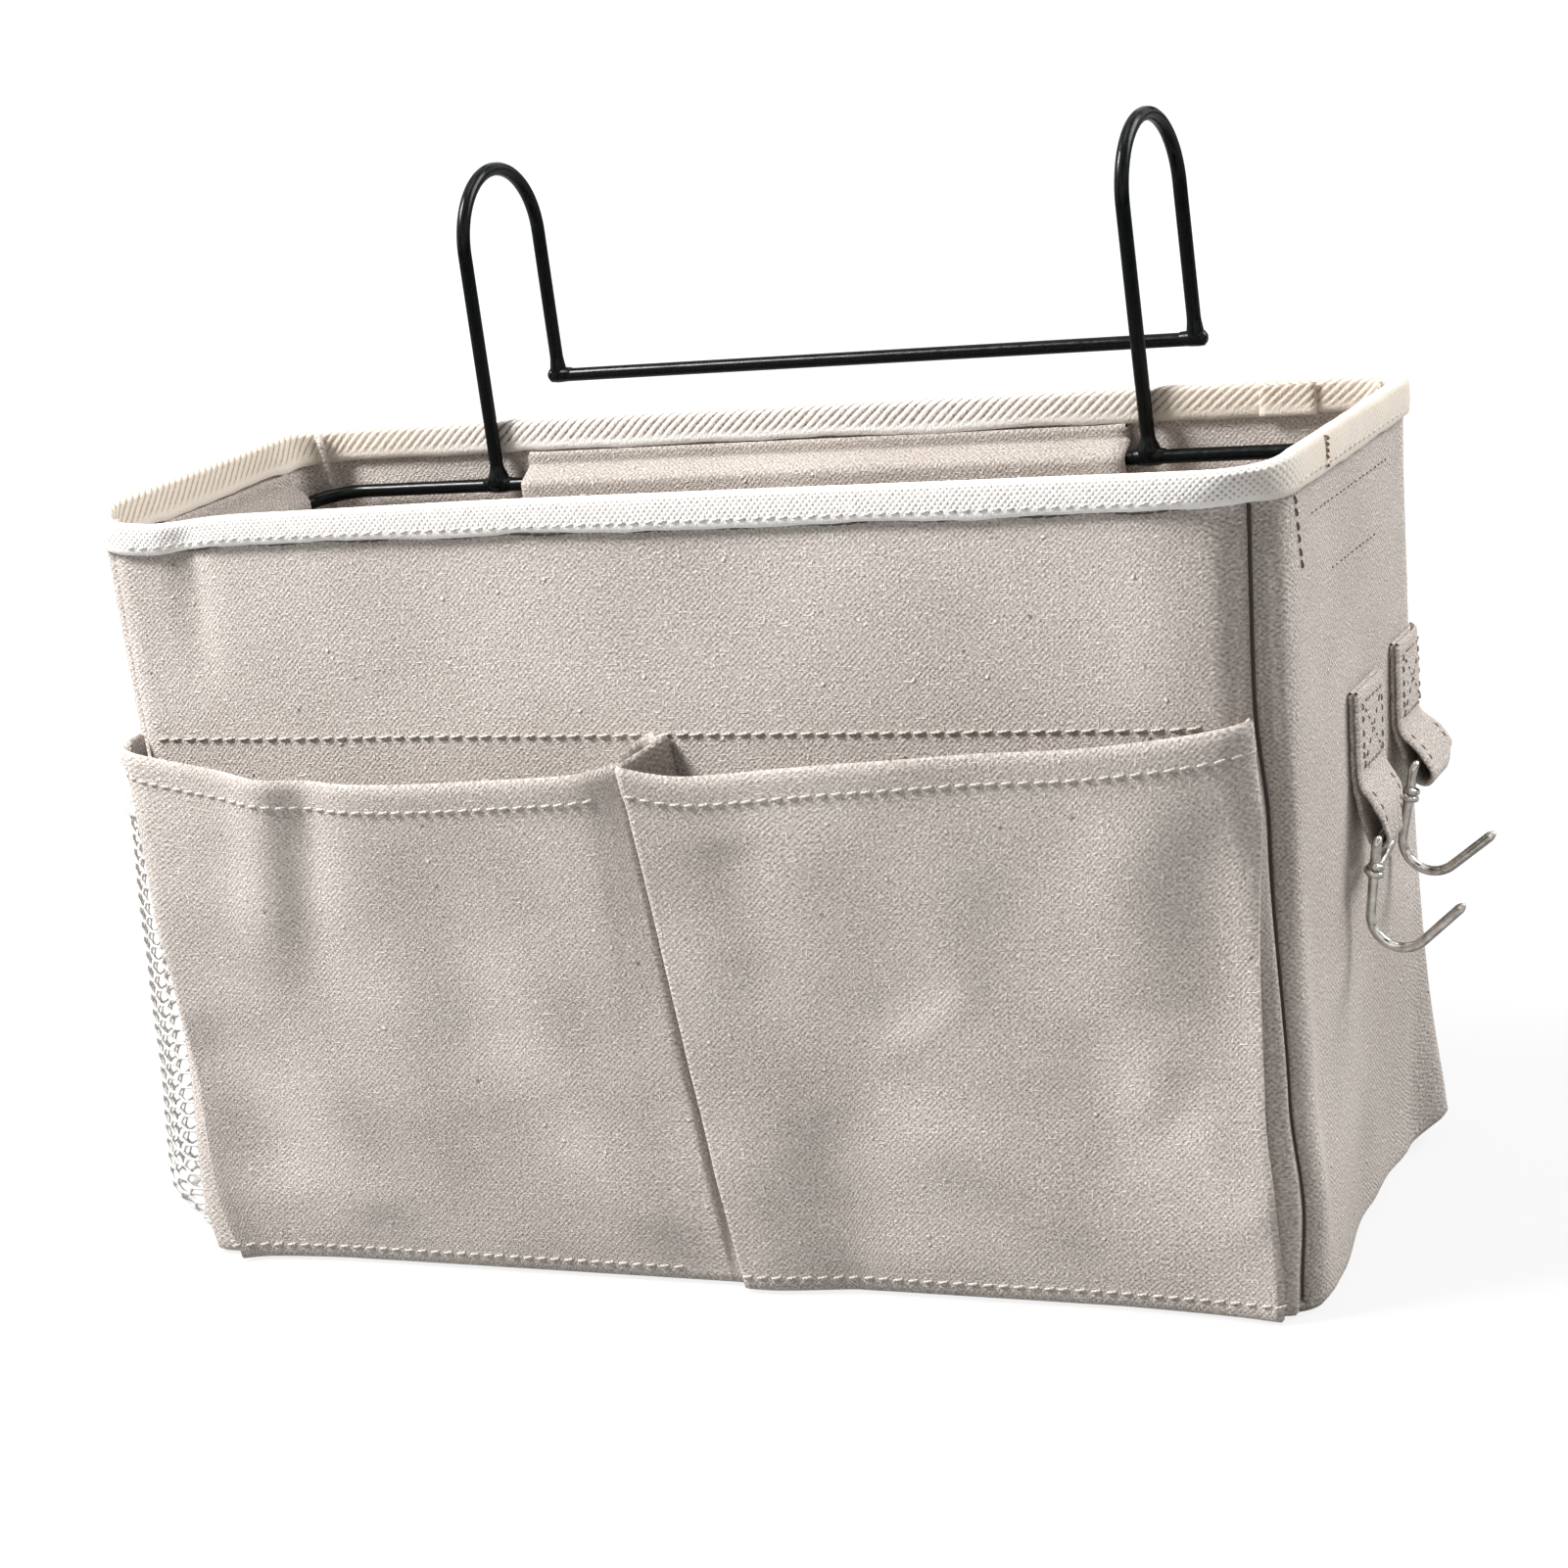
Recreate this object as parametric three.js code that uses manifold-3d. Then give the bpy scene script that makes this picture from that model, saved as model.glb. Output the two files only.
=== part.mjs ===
// Bedside caddy: a canvas bag on a wire frame that hooks over a bed rail.
// Millimetres, +Z up, front towards -Y. The origin is the middle of the base, on the surface below.
import * as THREE from 'three';
import { mergeVertices } from 'three/addons/utils/BufferGeometryUtils.js';
import Module from 'manifold-3d';

const degrees = THREE.MathUtils.degToRad;

// Fits
const CLEAR = 0.3; // gap between sewn or welded neighbours
const SEAM_GAP = 0.3; // gap between two wall panels at an upright seam

// Bag
const BASE_WIDTH = 243;
const BASE_DEPTH = 98;
const RIM_WIDTH = 260;
const RIM_DEPTH = 88;
const BAG_HEIGHT = 161; // surface below to the ridge of the rim tape
const BASE_CORNER = 6; // corner radius of the walls at the base
const RIM_CORNER = 12; // corner radius of the walls at the rim
const SIDE_WAIST = 3; // how far the back edges bow in half way up
const SEAM_ANGLE = degrees(40); // place of the seams on a corner, from front or back
const CANVAS = 1.2;
const FACING_DEPTH = 50; // the strip behind the front wall, down from the rim

// Rim tape
const TAPE = 0.9;
const TAPE_DROP = 7.5;

// Front pockets: heights of the mouth, and how far it stands off the front wall
const POCKET_FLOOR = 1;
const MOUTH_LEFT = 114;
const MOUTH_LEFT_DIP = 106;
const MOUTH_CENTRE = 109;
const MOUTH_RIGHT_DIP = 106.5;
const MOUTH_RIGHT = 116;
const POCKET_BULGE_LEFT = 10;
const POCKET_BULGE_CENTRE = 12;
const POCKET_BULGE_RIGHT = 7;
const POCKET_EDGE = 1; // from the front seam to the end of the strip
const PLEAT_TOP = -4; // X of the middle fold at the mouth
const PLEAT_BOTTOM = 3; // X of the middle fold at the base
const PLEAT_DEPTH = 6; // how far the middle pleat reaches under
const PLEAT_LIP = 12; // from the fold to the foot of its curve
const POCKET_SWELL = 0.8; // below 1 the pockets fill out low down
const KNIFE_PLEAT = 4; // width of the folded strip at each outer end of the base

// Net pocket on the left side
const NET_FLOOR = 4;
const NET_TOP = 102;
const NET_BULGE_LOW = 22;
const NET_BULGE_TOP = 17;
const NET_RISE = 0.2; // share of the height over which the net fills out
const NET_CORD = 0.9;
const NET_COLUMNS = 16; // half meshes across, even
const NET_ROWS = 18; // half meshes up, even
const NET_OPEN = 0.72; // share of a mesh that is open
const BINDING = 0.9;
const BINDING_DROP = 8;

// Wire frame
const WIRE = 3;
const BAR_DROP = 14.5; // rim down to the middle of the back bar
const FRAME_CORNER = 12;
const ARM_FRONT = -26; // Y of the front ends of the side arms
const ARM_DROP = 21.5; // rim down to the front ends of the side arms
const HOOK_SPACING = 153;
const HOOK_MIDDLE = -2.6; // X midway between the hooks
const HOOK_REACH = 32.5; // front leg to rear leg
const HOOK_RISE = 52.5; // rim up to the middle of the wire at the top
const REAR_BAR_RISE = 3.6; // rim up to the middle of the rear bar
const REAR_BAR_OVERHANG = 1.8;
const WELD_RADIUS = 2.5;
const WELD_HEIGHT = 4;

// Canvas sleeves for the wire
const BACK_SLEEVE_WIDTH = 140;
const BACK_SLEEVE_MIDDLE = -1.5;
const BACK_SLEEVE_HEIGHT = 16;
const SIDE_SLEEVE_HEIGHT = 22;
const SIDE_SLEEVE_FRONT = -29;
const SIDE_SLEEVE_BACK = 27;
const SLEEVE_FLANGE = 3.5; // sewn edge above and below the channel

// Tabs and J-hooks on the right side
const TAB_WIDTH = 17.5;
const TAB_CLOTH = 1;
const TAB_SEWN = 17.5; // height of the sewn part
const FRONT_TAB_MIDDLE = 3.8; // in Y
const FRONT_TAB_HEIGHT = 91; // bottom of the sewn part
const FRONT_TAB_LENGTH = 11.2; // hinge line to the middle of the fold
const FRONT_TAB_FOLD = 2.6; // outer radius of the fold
const FRONT_TAB_TILT = degrees(18); // how far the loop stands off
const FRONT_HOOK_SWING = 0; // how far the hook has swung in
const REAR_TAB_MIDDLE = 33;
const REAR_TAB_HEIGHT = 93;
const REAR_TAB_LENGTH = 6.4;
const REAR_TAB_FOLD = 3.4;
const REAR_TAB_TILT = degrees(28);
const REAR_HOOK_SWING = degrees(4);
const HOOK_WIRE = 2;
const EYE_CORNER = 1.6; // bends in the eye
const EYE_DROP = 4; // rear leg of the eye
const EYE_KNOT = 6.2; // bar of the eye to the foot of its sloping leg
const SHANK = 14.6; // bar of the eye to the start of the bend
const BEND = 6;
const TIP = 11;
const TIP_RISE = degrees(40);
const SHANK_LEAN = degrees(10);

// Facets
const ARC_STEPS = 4;
const LEVELS = 6;
const WIRE_SIDES = 8;
const FRAME_STEPS = 70;
const HOOK_STEPS = 44;
const J_HOOK_STEPS = 84;

const { lerp } = THREE.MathUtils;
const vec = (x, y, z) => new THREE.Vector3(x, y, z);
const steps = (from, to, count) => Array.from({ length: count + 1 }, (_, i) => lerp(from, to, i / count));

const wasm = await Module();
wasm.setup();

// Solids from sheets

function signedVolume(points, index) {
  let sum = 0;
  for (let i = 0; i < index.length; i += 3) {
    const [a, b, c] = [points[index[i]], points[index[i + 1]], points[index[i + 2]]];
    sum += a.dot(vec(0, 0, 0).crossVectors(b, c));
  }
  return sum / 6;
}

// Closes a sheet into a solid: its face, its back and a wall along every free edge.
function thicken(face, back, triangles) {
  const count = face.length;
  const points = [...face, ...back];
  const index = [];
  const free = new Map();
  for (const [a, b, c] of triangles) {
    index.push(a, b, c, count + a, count + c, count + b);
    for (const [from, to] of [[a, b], [b, c], [c, a]]) {
      if (!free.delete(`${to} ${from}`)) free.set(`${from} ${to}`, [from, to]);
    }
  }
  for (const [from, to] of free.values()) {
    index.push(to, from, count + from, to, count + from, count + to);
  }
  if (signedVolume(points, index) < 0) index.reverse();
  const geometry = new THREE.BufferGeometry().setFromPoints(points);
  geometry.setIndex(index);
  return geometry;
}

// Sheet on a grid of points. closedRows joins the last row to the first, closedColumns the columns.
function gridSolid(faceRows, backRows, { closedRows = false, closedColumns = false } = {}) {
  const rows = faceRows.length;
  const columns = faceRows[0].length;
  const at = (i, j) => (i % rows) * columns + (j % columns);
  const triangles = [];
  for (let i = 0; i < rows - (closedRows ? 0 : 1); i++) {
    for (let j = 0; j < columns - (closedColumns ? 0 : 1); j++) {
      triangles.push([at(i, j), at(i, j + 1), at(i + 1, j + 1)], [at(i, j), at(i + 1, j + 1), at(i + 1, j)]);
    }
  }
  return thicken(faceRows.flat(), backRows.flat(), triangles);
}

// Wires

function wireSection(diameter) {
  return new THREE.Shape(
    Array.from({ length: WIRE_SIDES }, (_, i) => {
      const angle = (2 * Math.PI * i) / WIRE_SIDES;
      return new THREE.Vector2(Math.cos(angle), Math.sin(angle)).multiplyScalar(diameter / 2);
    }),
  );
}

function wire(path, diameter, count) {
  return new THREE.ExtrudeGeometry(wireSection(diameter), { steps: count, extrudePath: path });
}

// Straight runs between corner points, with each corner rounded.
function roundedPath(corners, radius) {
  const path = new THREE.CurvePath();
  let start = corners[0];
  for (let i = 1; i < corners.length - 1; i++) {
    const corner = corners[i];
    const before = corner.clone().lerp(corners[i - 1], radius / corner.distanceTo(corners[i - 1]));
    const after = corner.clone().lerp(corners[i + 1], radius / corner.distanceTo(corners[i + 1]));
    path.add(new THREE.LineCurve3(start, before));
    path.add(new THREE.QuadraticBezierCurve3(before, corner, after));
    start = after;
  }
  path.add(new THREE.LineCurve3(start, corners.at(-1)));
  return path;
}

// Arc about a centre, from one radius vector through a quarter turn to another.
class ArcCurve extends THREE.Curve {
  constructor(centre, first, quarter, sweep) {
    super();
    Object.assign(this, { centre, first, quarter, sweep });
  }

  getPoint(t, target = vec(0, 0, 0)) {
    const angle = this.sweep * t;
    return target
      .copy(this.centre)
      .addScaledVector(this.first, Math.cos(angle))
      .addScaledVector(this.quarter, Math.sin(angle));
  }
}

// Cuts and joins

function toSolid(geometry) {
  const bare = geometry.clone();
  bare.deleteAttribute('normal');
  bare.deleteAttribute('uv');
  const merged = mergeVertices(bare, 1e-4);
  const mesh = new wasm.Mesh({
    numProp: 3,
    vertProperties: new Float32Array(merged.attributes.position.array),
    triVerts: new Uint32Array(merged.index.array),
  });
  return new wasm.Manifold(mesh);
}

function toGeometry(solid) {
  const mesh = solid.getMesh();
  const geometry = new THREE.BufferGeometry();
  geometry.setAttribute('position', new THREE.BufferAttribute(mesh.vertProperties, 3));
  geometry.setIndex(new THREE.BufferAttribute(mesh.triVerts, 1));
  return geometry;
}

// Shape of the bag's walls

function wallPlan(z) {
  const share = z / BAG_HEIGHT;
  const half = lerp(BASE_WIDTH, RIM_WIDTH, share) / 2;
  return {
    front: half,
    back: half - SIDE_WAIST * Math.sin(Math.PI * share),
    depth: lerp(BASE_DEPTH, RIM_DEPTH, share) / 2,
    corner: lerp(BASE_CORNER, RIM_CORNER, share),
  };
}

// Point on a wall corner: angle 0 is on the front or back, a quarter turn is on the side.
function cornerPoint(z, sideX, sideY, angle, inset) {
  const plan = wallPlan(z);
  const half = sideY < 0 ? plan.front : plan.back;
  const reach = plan.corner - inset;
  const x = half - plan.corner + reach * Math.sin(angle);
  const y = plan.depth - plan.corner + reach * Math.cos(angle);
  return vec(sideX * x, sideY * y, z);
}

// Outer X of a side wall between its corners.
function sideX(y, z) {
  const plan = wallPlan(z);
  const straight = plan.depth - plan.corner;
  return lerp(plan.front, plan.back, (y + straight) / (2 * straight));
}

// Row of points across the front or the back wall, seam to seam.
function faceRow(z, sideY, inset) {
  const seam = SEAM_ANGLE - SEAM_GAP / 2 / wallPlan(z).corner;
  const arc = steps(0, seam, ARC_STEPS);
  const left = arc.toReversed().map((angle) => cornerPoint(z, -1, sideY, angle, inset));
  const right = arc.map((angle) => cornerPoint(z, 1, sideY, angle, inset));
  return [...left, ...right];
}

// Row of points along a side wall, front seam to back seam.
function sideRow(z, side, inset) {
  const seam = SEAM_ANGLE + SEAM_GAP / 2 / wallPlan(z).corner;
  const arc = steps(seam, Math.PI / 2, ARC_STEPS);
  const front = arc.map((angle) => cornerPoint(z, side, -1, angle, inset));
  const back = arc.toReversed().map((angle) => cornerPoint(z, side, 1, angle, inset));
  return [...front, ...back];
}

// Closed row of points all round the walls.
function loopRow(z, inset) {
  const arc = steps(0, Math.PI / 2, 2 * ARC_STEPS);
  const corner = (x, y, angles) => angles.map((angle) => cornerPoint(z, x, y, angle, inset));
  return [
    ...corner(1, -1, arc),
    ...corner(1, 1, arc.toReversed()),
    ...corner(-1, 1, arc),
    ...corner(-1, -1, arc.toReversed()),
  ];
}

const wallTop = BAG_HEIGHT - TAPE - CLEAR;
const tapeBottom = BAG_HEIGHT - TAPE_DROP;

function wallPanel(row, side) {
  const levels = steps(0, wallTop, LEVELS);
  return gridSolid(
    levels.map((z) => row(z, side, 0)),
    levels.map((z) => row(z, side, CANVAS)),
  );
}

function bottomPanel() {
  const outline = loopRow(0, CANVAS + CLEAR).map((point) => new THREE.Vector2(point.x, point.y));
  return new THREE.ExtrudeGeometry(new THREE.Shape(outline), { depth: CANVAS, bevelEnabled: false });
}

// Strip sewn behind the front wall, from just under the tape down to the stitch line.
function frontFacing() {
  const inset = CANVAS + CLEAR;
  const levels = steps(BAG_HEIGHT - FACING_DEPTH, tapeBottom - CLEAR, 2);
  return gridSolid(
    levels.map((z) => faceRow(z, -1, inset)),
    levels.map((z) => faceRow(z, -1, inset + CANVAS)),
  );
}

// Tape folded over the rim: down the outside, over the top and down the inside.
function rimTape() {
  const outside = -CLEAR;
  const inside = CANVAS + CLEAR;
  const shoulder = BAG_HEIGHT - TAPE;
  const face = [
    [tapeBottom, outside - TAPE],
    [shoulder, outside - TAPE],
    [BAG_HEIGHT, outside],
    [BAG_HEIGHT, inside],
    [shoulder, inside + TAPE],
    [tapeBottom, inside + TAPE],
  ];
  const back = [
    [tapeBottom, outside],
    [shoulder - CLEAR, outside],
    [shoulder, outside],
    [shoulder, inside],
    [shoulder - CLEAR, inside],
    [tapeBottom, inside],
  ];
  const rows = (section) => section.map(([z, inset]) => loopRow(z, inset));
  return gridSolid(rows(face), rows(back), { closedColumns: true });
}

// Front pockets: one strip whose plan is folded at both ends and in the middle

const layer = CANVAS + CLEAR;
const firstLayer = CLEAR + CANVAS / 2;

// Plan points of the strip: X and stand-off at the base and at the mouth, and the mouth's height.
function pocketPlan(seamBase, seamMouth) {
  const mouthSpan = (share) => lerp(-seamMouth, seamMouth, share);
  const baseSpan = (share) => lerp(-seamBase, seamBase, share);
  const [second, third] = [firstLayer + layer, firstLayer + 2 * layer];
  const point = (baseX, baseOff, mouthX, mouthOff, height) => ({ baseX, baseOff, mouthX, mouthOff, height });
  const wall = (share, bulge, height) =>
    point(baseSpan(share), firstLayer, mouthSpan(share), bulge, height);
  const pleatEnd = PLEAT_BOTTOM + PLEAT_DEPTH;
  // Shares of the width are the places where the mouth sags or bulges
  return [
    point(-seamBase, firstLayer, -seamMouth, firstLayer, MOUTH_LEFT),
    point(KNIFE_PLEAT - seamBase, second, -seamMouth, POCKET_BULGE_LEFT, MOUTH_LEFT),
    wall(0.16, POCKET_BULGE_LEFT, lerp(MOUTH_LEFT, MOUTH_LEFT_DIP, 0.9)),
    wall(0.28, POCKET_BULGE_CENTRE, MOUTH_LEFT_DIP),
    wall(0.38, POCKET_BULGE_CENTRE, lerp(MOUTH_LEFT_DIP, MOUTH_CENTRE, 0.4)),
    point(PLEAT_BOTTOM - layer, firstLayer, PLEAT_TOP - 2 * layer, POCKET_BULGE_CENTRE - layer, MOUTH_CENTRE),
    point(pleatEnd, firstLayer, PLEAT_TOP + layer, firstLayer, MOUTH_CENTRE),
    point(pleatEnd, second, PLEAT_TOP + 3 * layer, firstLayer, MOUTH_CENTRE),
    point(PLEAT_BOTTOM, second, PLEAT_TOP, POCKET_BULGE_CENTRE - layer / 2, MOUTH_CENTRE),
    point(PLEAT_BOTTOM, third, PLEAT_TOP + layer / 2, POCKET_BULGE_CENTRE + layer / 4, MOUTH_CENTRE),
    point(pleatEnd + layer, third, PLEAT_TOP + PLEAT_LIP, POCKET_BULGE_CENTRE, MOUTH_RIGHT_DIP),
    wall(0.72, lerp(POCKET_BULGE_CENTRE, POCKET_BULGE_RIGHT, 0.4), lerp(MOUTH_RIGHT_DIP, MOUTH_RIGHT, 0.4)),
    wall(0.86, lerp(POCKET_BULGE_CENTRE, POCKET_BULGE_RIGHT, 0.7), lerp(MOUTH_RIGHT_DIP, MOUTH_RIGHT, 0.7)),
    point(seamBase - KNIFE_PLEAT, second, seamMouth, POCKET_BULGE_RIGHT, MOUTH_RIGHT),
    point(seamBase, firstLayer, seamMouth, firstLayer, MOUTH_RIGHT),
  ];
}

// X where the strip ends beside the front seam.
function pocketEnd(z) {
  return cornerPoint(z, 1, -1, SEAM_ANGLE, 0).x - POCKET_EDGE;
}

// How far the front wall falls back where it turns into a corner.
function cornerFall(x, z) {
  const plan = wallPlan(z);
  const past = Math.max(0, Math.abs(x) - (plan.front - plan.corner));
  return plan.corner - Math.sqrt(plan.corner ** 2 - past ** 2);
}

// Shifts a plan line sideways by a distance, keeping its width through each bend.
function shiftLine(line, distance) {
  return line.map((point, i) => {
    const before = line[Math.max(i - 1, 0)];
    const after = line[Math.min(i + 1, line.length - 1)];
    const ahead = after.clone().sub(i < line.length - 1 ? point : before).normalize();
    const behind = (i > 0 ? point.clone().sub(before) : after.clone().sub(point)).normalize();
    const tangent = ahead.clone().add(behind).normalize();
    const normal = new THREE.Vector2(-tangent.y, tangent.x);
    return point.clone().addScaledVector(normal, distance / normal.dot(new THREE.Vector2(-ahead.y, ahead.x)));
  });
}

function frontPockets() {
  const plan = pocketPlan(pocketEnd(POCKET_FLOOR), pocketEnd(MOUTH_RIGHT));
  const row = (share, shift) => {
    const line = plan.map((p) => {
      const swell = share ** POCKET_SWELL;
      return new THREE.Vector2(lerp(p.baseX, p.mouthX, share), lerp(p.baseOff, p.mouthOff, swell));
    });
    return shiftLine(line, shift).map((point, i) => {
      const z = lerp(POCKET_FLOOR, plan[i].height, share);
      return vec(point.x, cornerFall(line[i].x, z) - wallPlan(z).depth - point.y, z);
    });
  };
  const shares = steps(0, 1, LEVELS);
  return gridSolid(
    shares.map((share) => row(share, CANVAS / 2)),
    shares.map((share) => row(share, -CANVAS / 2)),
  );
}

// Net pocket on the left side

// Point of the net: u runs from its front edge to its back edge, out is measured square to the net.
function netPoint(u, z, out) {
  const plan = wallPlan(z);
  const straight = plan.depth - plan.corner;
  const share = (z - NET_FLOOR) / (NET_TOP - NET_FLOOR);
  const fullness = Math.sqrt(1 - Math.max(0, 1 - share / NET_RISE) ** 2);
  const handle = (lerp(NET_BULGE_LOW, NET_BULGE_TOP, share) * fullness * 4) / 3;
  const ends = [-straight, straight].map((y) => new THREE.Vector2(y, sideX(y, z) + CLEAR));
  const handles = ends.map((end) => end.clone().setY(end.y + handle));
  const section = new THREE.CubicBezierCurve(ends[0], handles[0], handles[1], ends[1]);
  const point = section.getPointAt(u);
  const along = section.getTangentAt(u);
  return vec(-(point.y + out * along.x), point.x - out * along.y, z);
}

function meshPocket() {
  const face = [];
  const back = [];
  const triangles = [];
  const add = (i, j) => {
    const share = j / NET_ROWS;
    const z = lerp(NET_FLOOR, NET_TOP, (share + share ** 2) / 2);
    face.push(netPoint(i / NET_COLUMNS, z, NET_CORD));
    back.push(netPoint(i / NET_COLUMNS, z, 0));
    return face.length - 1;
  };
  const knots = new Map();
  const knot = (i, j) => {
    const key = `${i} ${j}`;
    if (!knots.has(key)) knots.set(key, add(i, j));
    return knots.get(key);
  };
  const inside = ([i, j]) => i >= 0 && j >= 0 && i <= NET_COLUMNS && j <= NET_ROWS;
  for (let i = 0; i <= NET_COLUMNS; i++) {
    for (let j = 0; j <= NET_ROWS; j++) {
      if ((i + j) % 2 === 0) continue;
      const corners = [[i - 1, j], [i, j - 1], [i + 1, j], [i, j + 1]].filter(inside);
      const rim = corners.map(([a, b]) => knot(a, b));
      if (rim.length === 3) {
        triangles.push(rim);
        continue;
      }
      const hole = corners.map(([a, b]) => add(lerp(i, a, NET_OPEN), lerp(j, b, NET_OPEN)));
      for (let k = 0; k < 4; k++) {
        const next = (k + 1) % 4;
        triangles.push([rim[k], rim[next], hole[next]], [rim[k], hole[next], hole[k]]);
      }
    }
  }
  return thicken(face, back, triangles);
}

// Tape folded over the mouth of the net.
function meshBinding() {
  const low = NET_TOP + CLEAR + BINDING - BINDING_DROP;
  const top = NET_TOP + CLEAR;
  const across = steps(0, 1, NET_COLUMNS);
  const outer = NET_CORD + CLEAR;
  const row = (z, out) => across.map((u) => netPoint(u, z, out));
  const over = (z, out, lift) => row(z, out).map((point) => point.setZ(z + lift));
  const face = [row(low, outer + BINDING), over(top, outer + BINDING, BINDING), over(top, -CLEAR, BINDING)];
  const back = [row(low, outer), over(top, outer, 0), over(top, -CLEAR, 0)];
  return gridSolid(face, back);
}

// Wire frame and its sleeves

const barZ = BAG_HEIGHT - BAR_DROP;
const armZ = BAG_HEIGHT - ARM_DROP;
const rearBarZ = BAG_HEIGHT + REAR_BAR_RISE;
const sleeveTop = tapeBottom - 3 * CLEAR;
const barY = RIM_DEPTH / 2 - CANVAS - TAPE - 2 * CLEAR - WIRE / 2;
const armX = Math.min(sideX(ARM_FRONT, armZ), sideX(barY, barZ)) - CANVAS - CLEAR - WIRE / 2;
const rearY = barY + HOOK_REACH;

function frameWire() {
  const corners = [
    vec(-armX, ARM_FRONT, armZ),
    vec(-armX, barY, barZ),
    vec(armX, barY, barZ),
    vec(armX, ARM_FRONT, armZ),
  ];
  return wire(roundedPath(corners, FRAME_CORNER), WIRE, FRAME_STEPS);
}

function straightBar(x, y, z, length, diameter) {
  const path = new THREE.LineCurve3(vec(x - length / 2, y, z), vec(x + length / 2, y, z));
  return wire(path, diameter, 1);
}

// Bead round the foot of a hook leg, wide at the bar and running out up the leg.
function weldBead(x, y, z) {
  const profile = [
    [0, -WIRE / 4],
    [WELD_RADIUS, -WIRE / 4],
    [WELD_RADIUS, WIRE / 2],
    [WIRE / 2, WELD_HEIGHT],
    [0, WELD_HEIGHT],
  ].map(([radius, height]) => new THREE.Vector2(radius, height));
  const bead = new THREE.LatheGeometry(profile, WIRE_SIDES);
  return bead.rotateX(Math.PI / 2).rotateZ(Math.PI / WIRE_SIDES).translate(x, y, z);
}

function hookWire(x) {
  const spring = BAG_HEIGHT + HOOK_RISE - HOOK_REACH / 2;
  const path = new THREE.CurvePath();
  path.add(new THREE.LineCurve3(vec(x, barY, barZ), vec(x, barY, spring)));
  const centre = vec(x, barY + HOOK_REACH / 2, spring);
  path.add(new ArcCurve(centre, vec(0, -HOOK_REACH / 2, 0), vec(0, 0, HOOK_REACH / 2), Math.PI));
  path.add(new THREE.LineCurve3(vec(x, rearY, spring), vec(x, rearY, rearBarZ)));
  const seat = WIRE + 2 * CLEAR;
  const solid = toSolid(wire(path, WIRE, HOOK_STEPS))
    .add(toSolid(weldBead(x, barY, barZ)))
    .add(toSolid(weldBead(x, rearY, rearBarZ)))
    .subtract(toSolid(straightBar(x, barY, barZ, 4 * WELD_RADIUS, seat)))
    .subtract(toSolid(straightBar(x, rearY, rearBarZ, 4 * WELD_RADIUS, seat)));
  return toGeometry(solid);
}

// Section of a sleeve: sewn flanges on the wall and a channel that stands off round the wire.
function sleeveSection(height, wallAt, channel) {
  const bottom = sleeveTop - height;
  const section = (grow) => [
    [sleeveTop, (z) => wallAt(z) - CLEAR - grow],
    [sleeveTop - SLEEVE_FLANGE + CANVAS, (z) => wallAt(z) - CLEAR - grow],
    [sleeveTop - SLEEVE_FLANGE, () => channel - grow],
    [bottom + SLEEVE_FLANGE, () => channel - grow],
    [bottom + SLEEVE_FLANGE - CANVAS, (z) => wallAt(z) - CLEAR - grow],
    [bottom, (z) => wallAt(z) - CLEAR - grow],
  ].map(([z, reach]) => [z, reach(z)]);
  return [section(CANVAS), section(0)];
}

function backSleeve() {
  const wallAt = (z) => wallPlan(z).depth - CANVAS;
  const sections = sleeveSection(BACK_SLEEVE_HEIGHT, wallAt, barY - WIRE / 2 - CLEAR);
  const ends = [-0.5, 0.5].map((side) => BACK_SLEEVE_MIDDLE + side * BACK_SLEEVE_WIDTH);
  const [face, back] = sections.map((section) => section.map(([z, y]) => ends.map((x) => vec(x, y, z))));
  return gridSolid(face, back);
}

function sideSleeve(side) {
  const columns = [SIDE_SLEEVE_FRONT, SIDE_SLEEVE_BACK].map((y) => {
    const wallAt = (z) => sideX(y, z) - CANVAS;
    const sections = sleeveSection(SIDE_SLEEVE_HEIGHT, wallAt, armX - WIRE / 2 - CLEAR);
    return sections.map((section) => section.map(([z, x]) => vec(side * x, y, z)));
  });
  const rows = (which) => columns[0][which].map((_, i) => columns.map((column) => column[which][i]));
  return gridSolid(rows(0), rows(1));
}

// Tabs: each hangs in a group whose origin is the line where its loop bends

function tabGroup({ middle, height }) {
  const [front, rear] = [middle - TAB_WIDTH / 2, middle + TAB_WIDTH / 2];
  const wallX = sideX(middle, height);
  const lean = Math.atan2(sideX(middle, height + TAB_SEWN) - wallX, TAB_SEWN);
  const turn = Math.atan2(sideX(front, height) - sideX(rear, height), TAB_WIDTH);
  const group = new THREE.Group();
  group.position.set(wallX + CLEAR + TAB_CLOTH, middle, height);
  group.rotation.set(0, lean, turn, 'ZYX');
  return group;
}

// Sewn part: two layers of cloth with a round lower edge.
function tabSewn() {
  const outline = new THREE.Shape();
  outline.moveTo(TAB_CLOTH, TAB_SEWN);
  outline.lineTo(-TAB_CLOTH, TAB_SEWN);
  outline.lineTo(-TAB_CLOTH, CLEAR / 2 + TAB_CLOTH);
  outline.absarc(0, CLEAR / 2 + TAB_CLOTH, TAB_CLOTH, Math.PI, 2 * Math.PI, false);
  const options = { depth: TAB_WIDTH, bevelEnabled: false, curveSegments: ARC_STEPS };
  return new THREE.ExtrudeGeometry(outline, options).rotateX(Math.PI / 2).translate(0, TAB_WIDTH / 2, 0);
}

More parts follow.
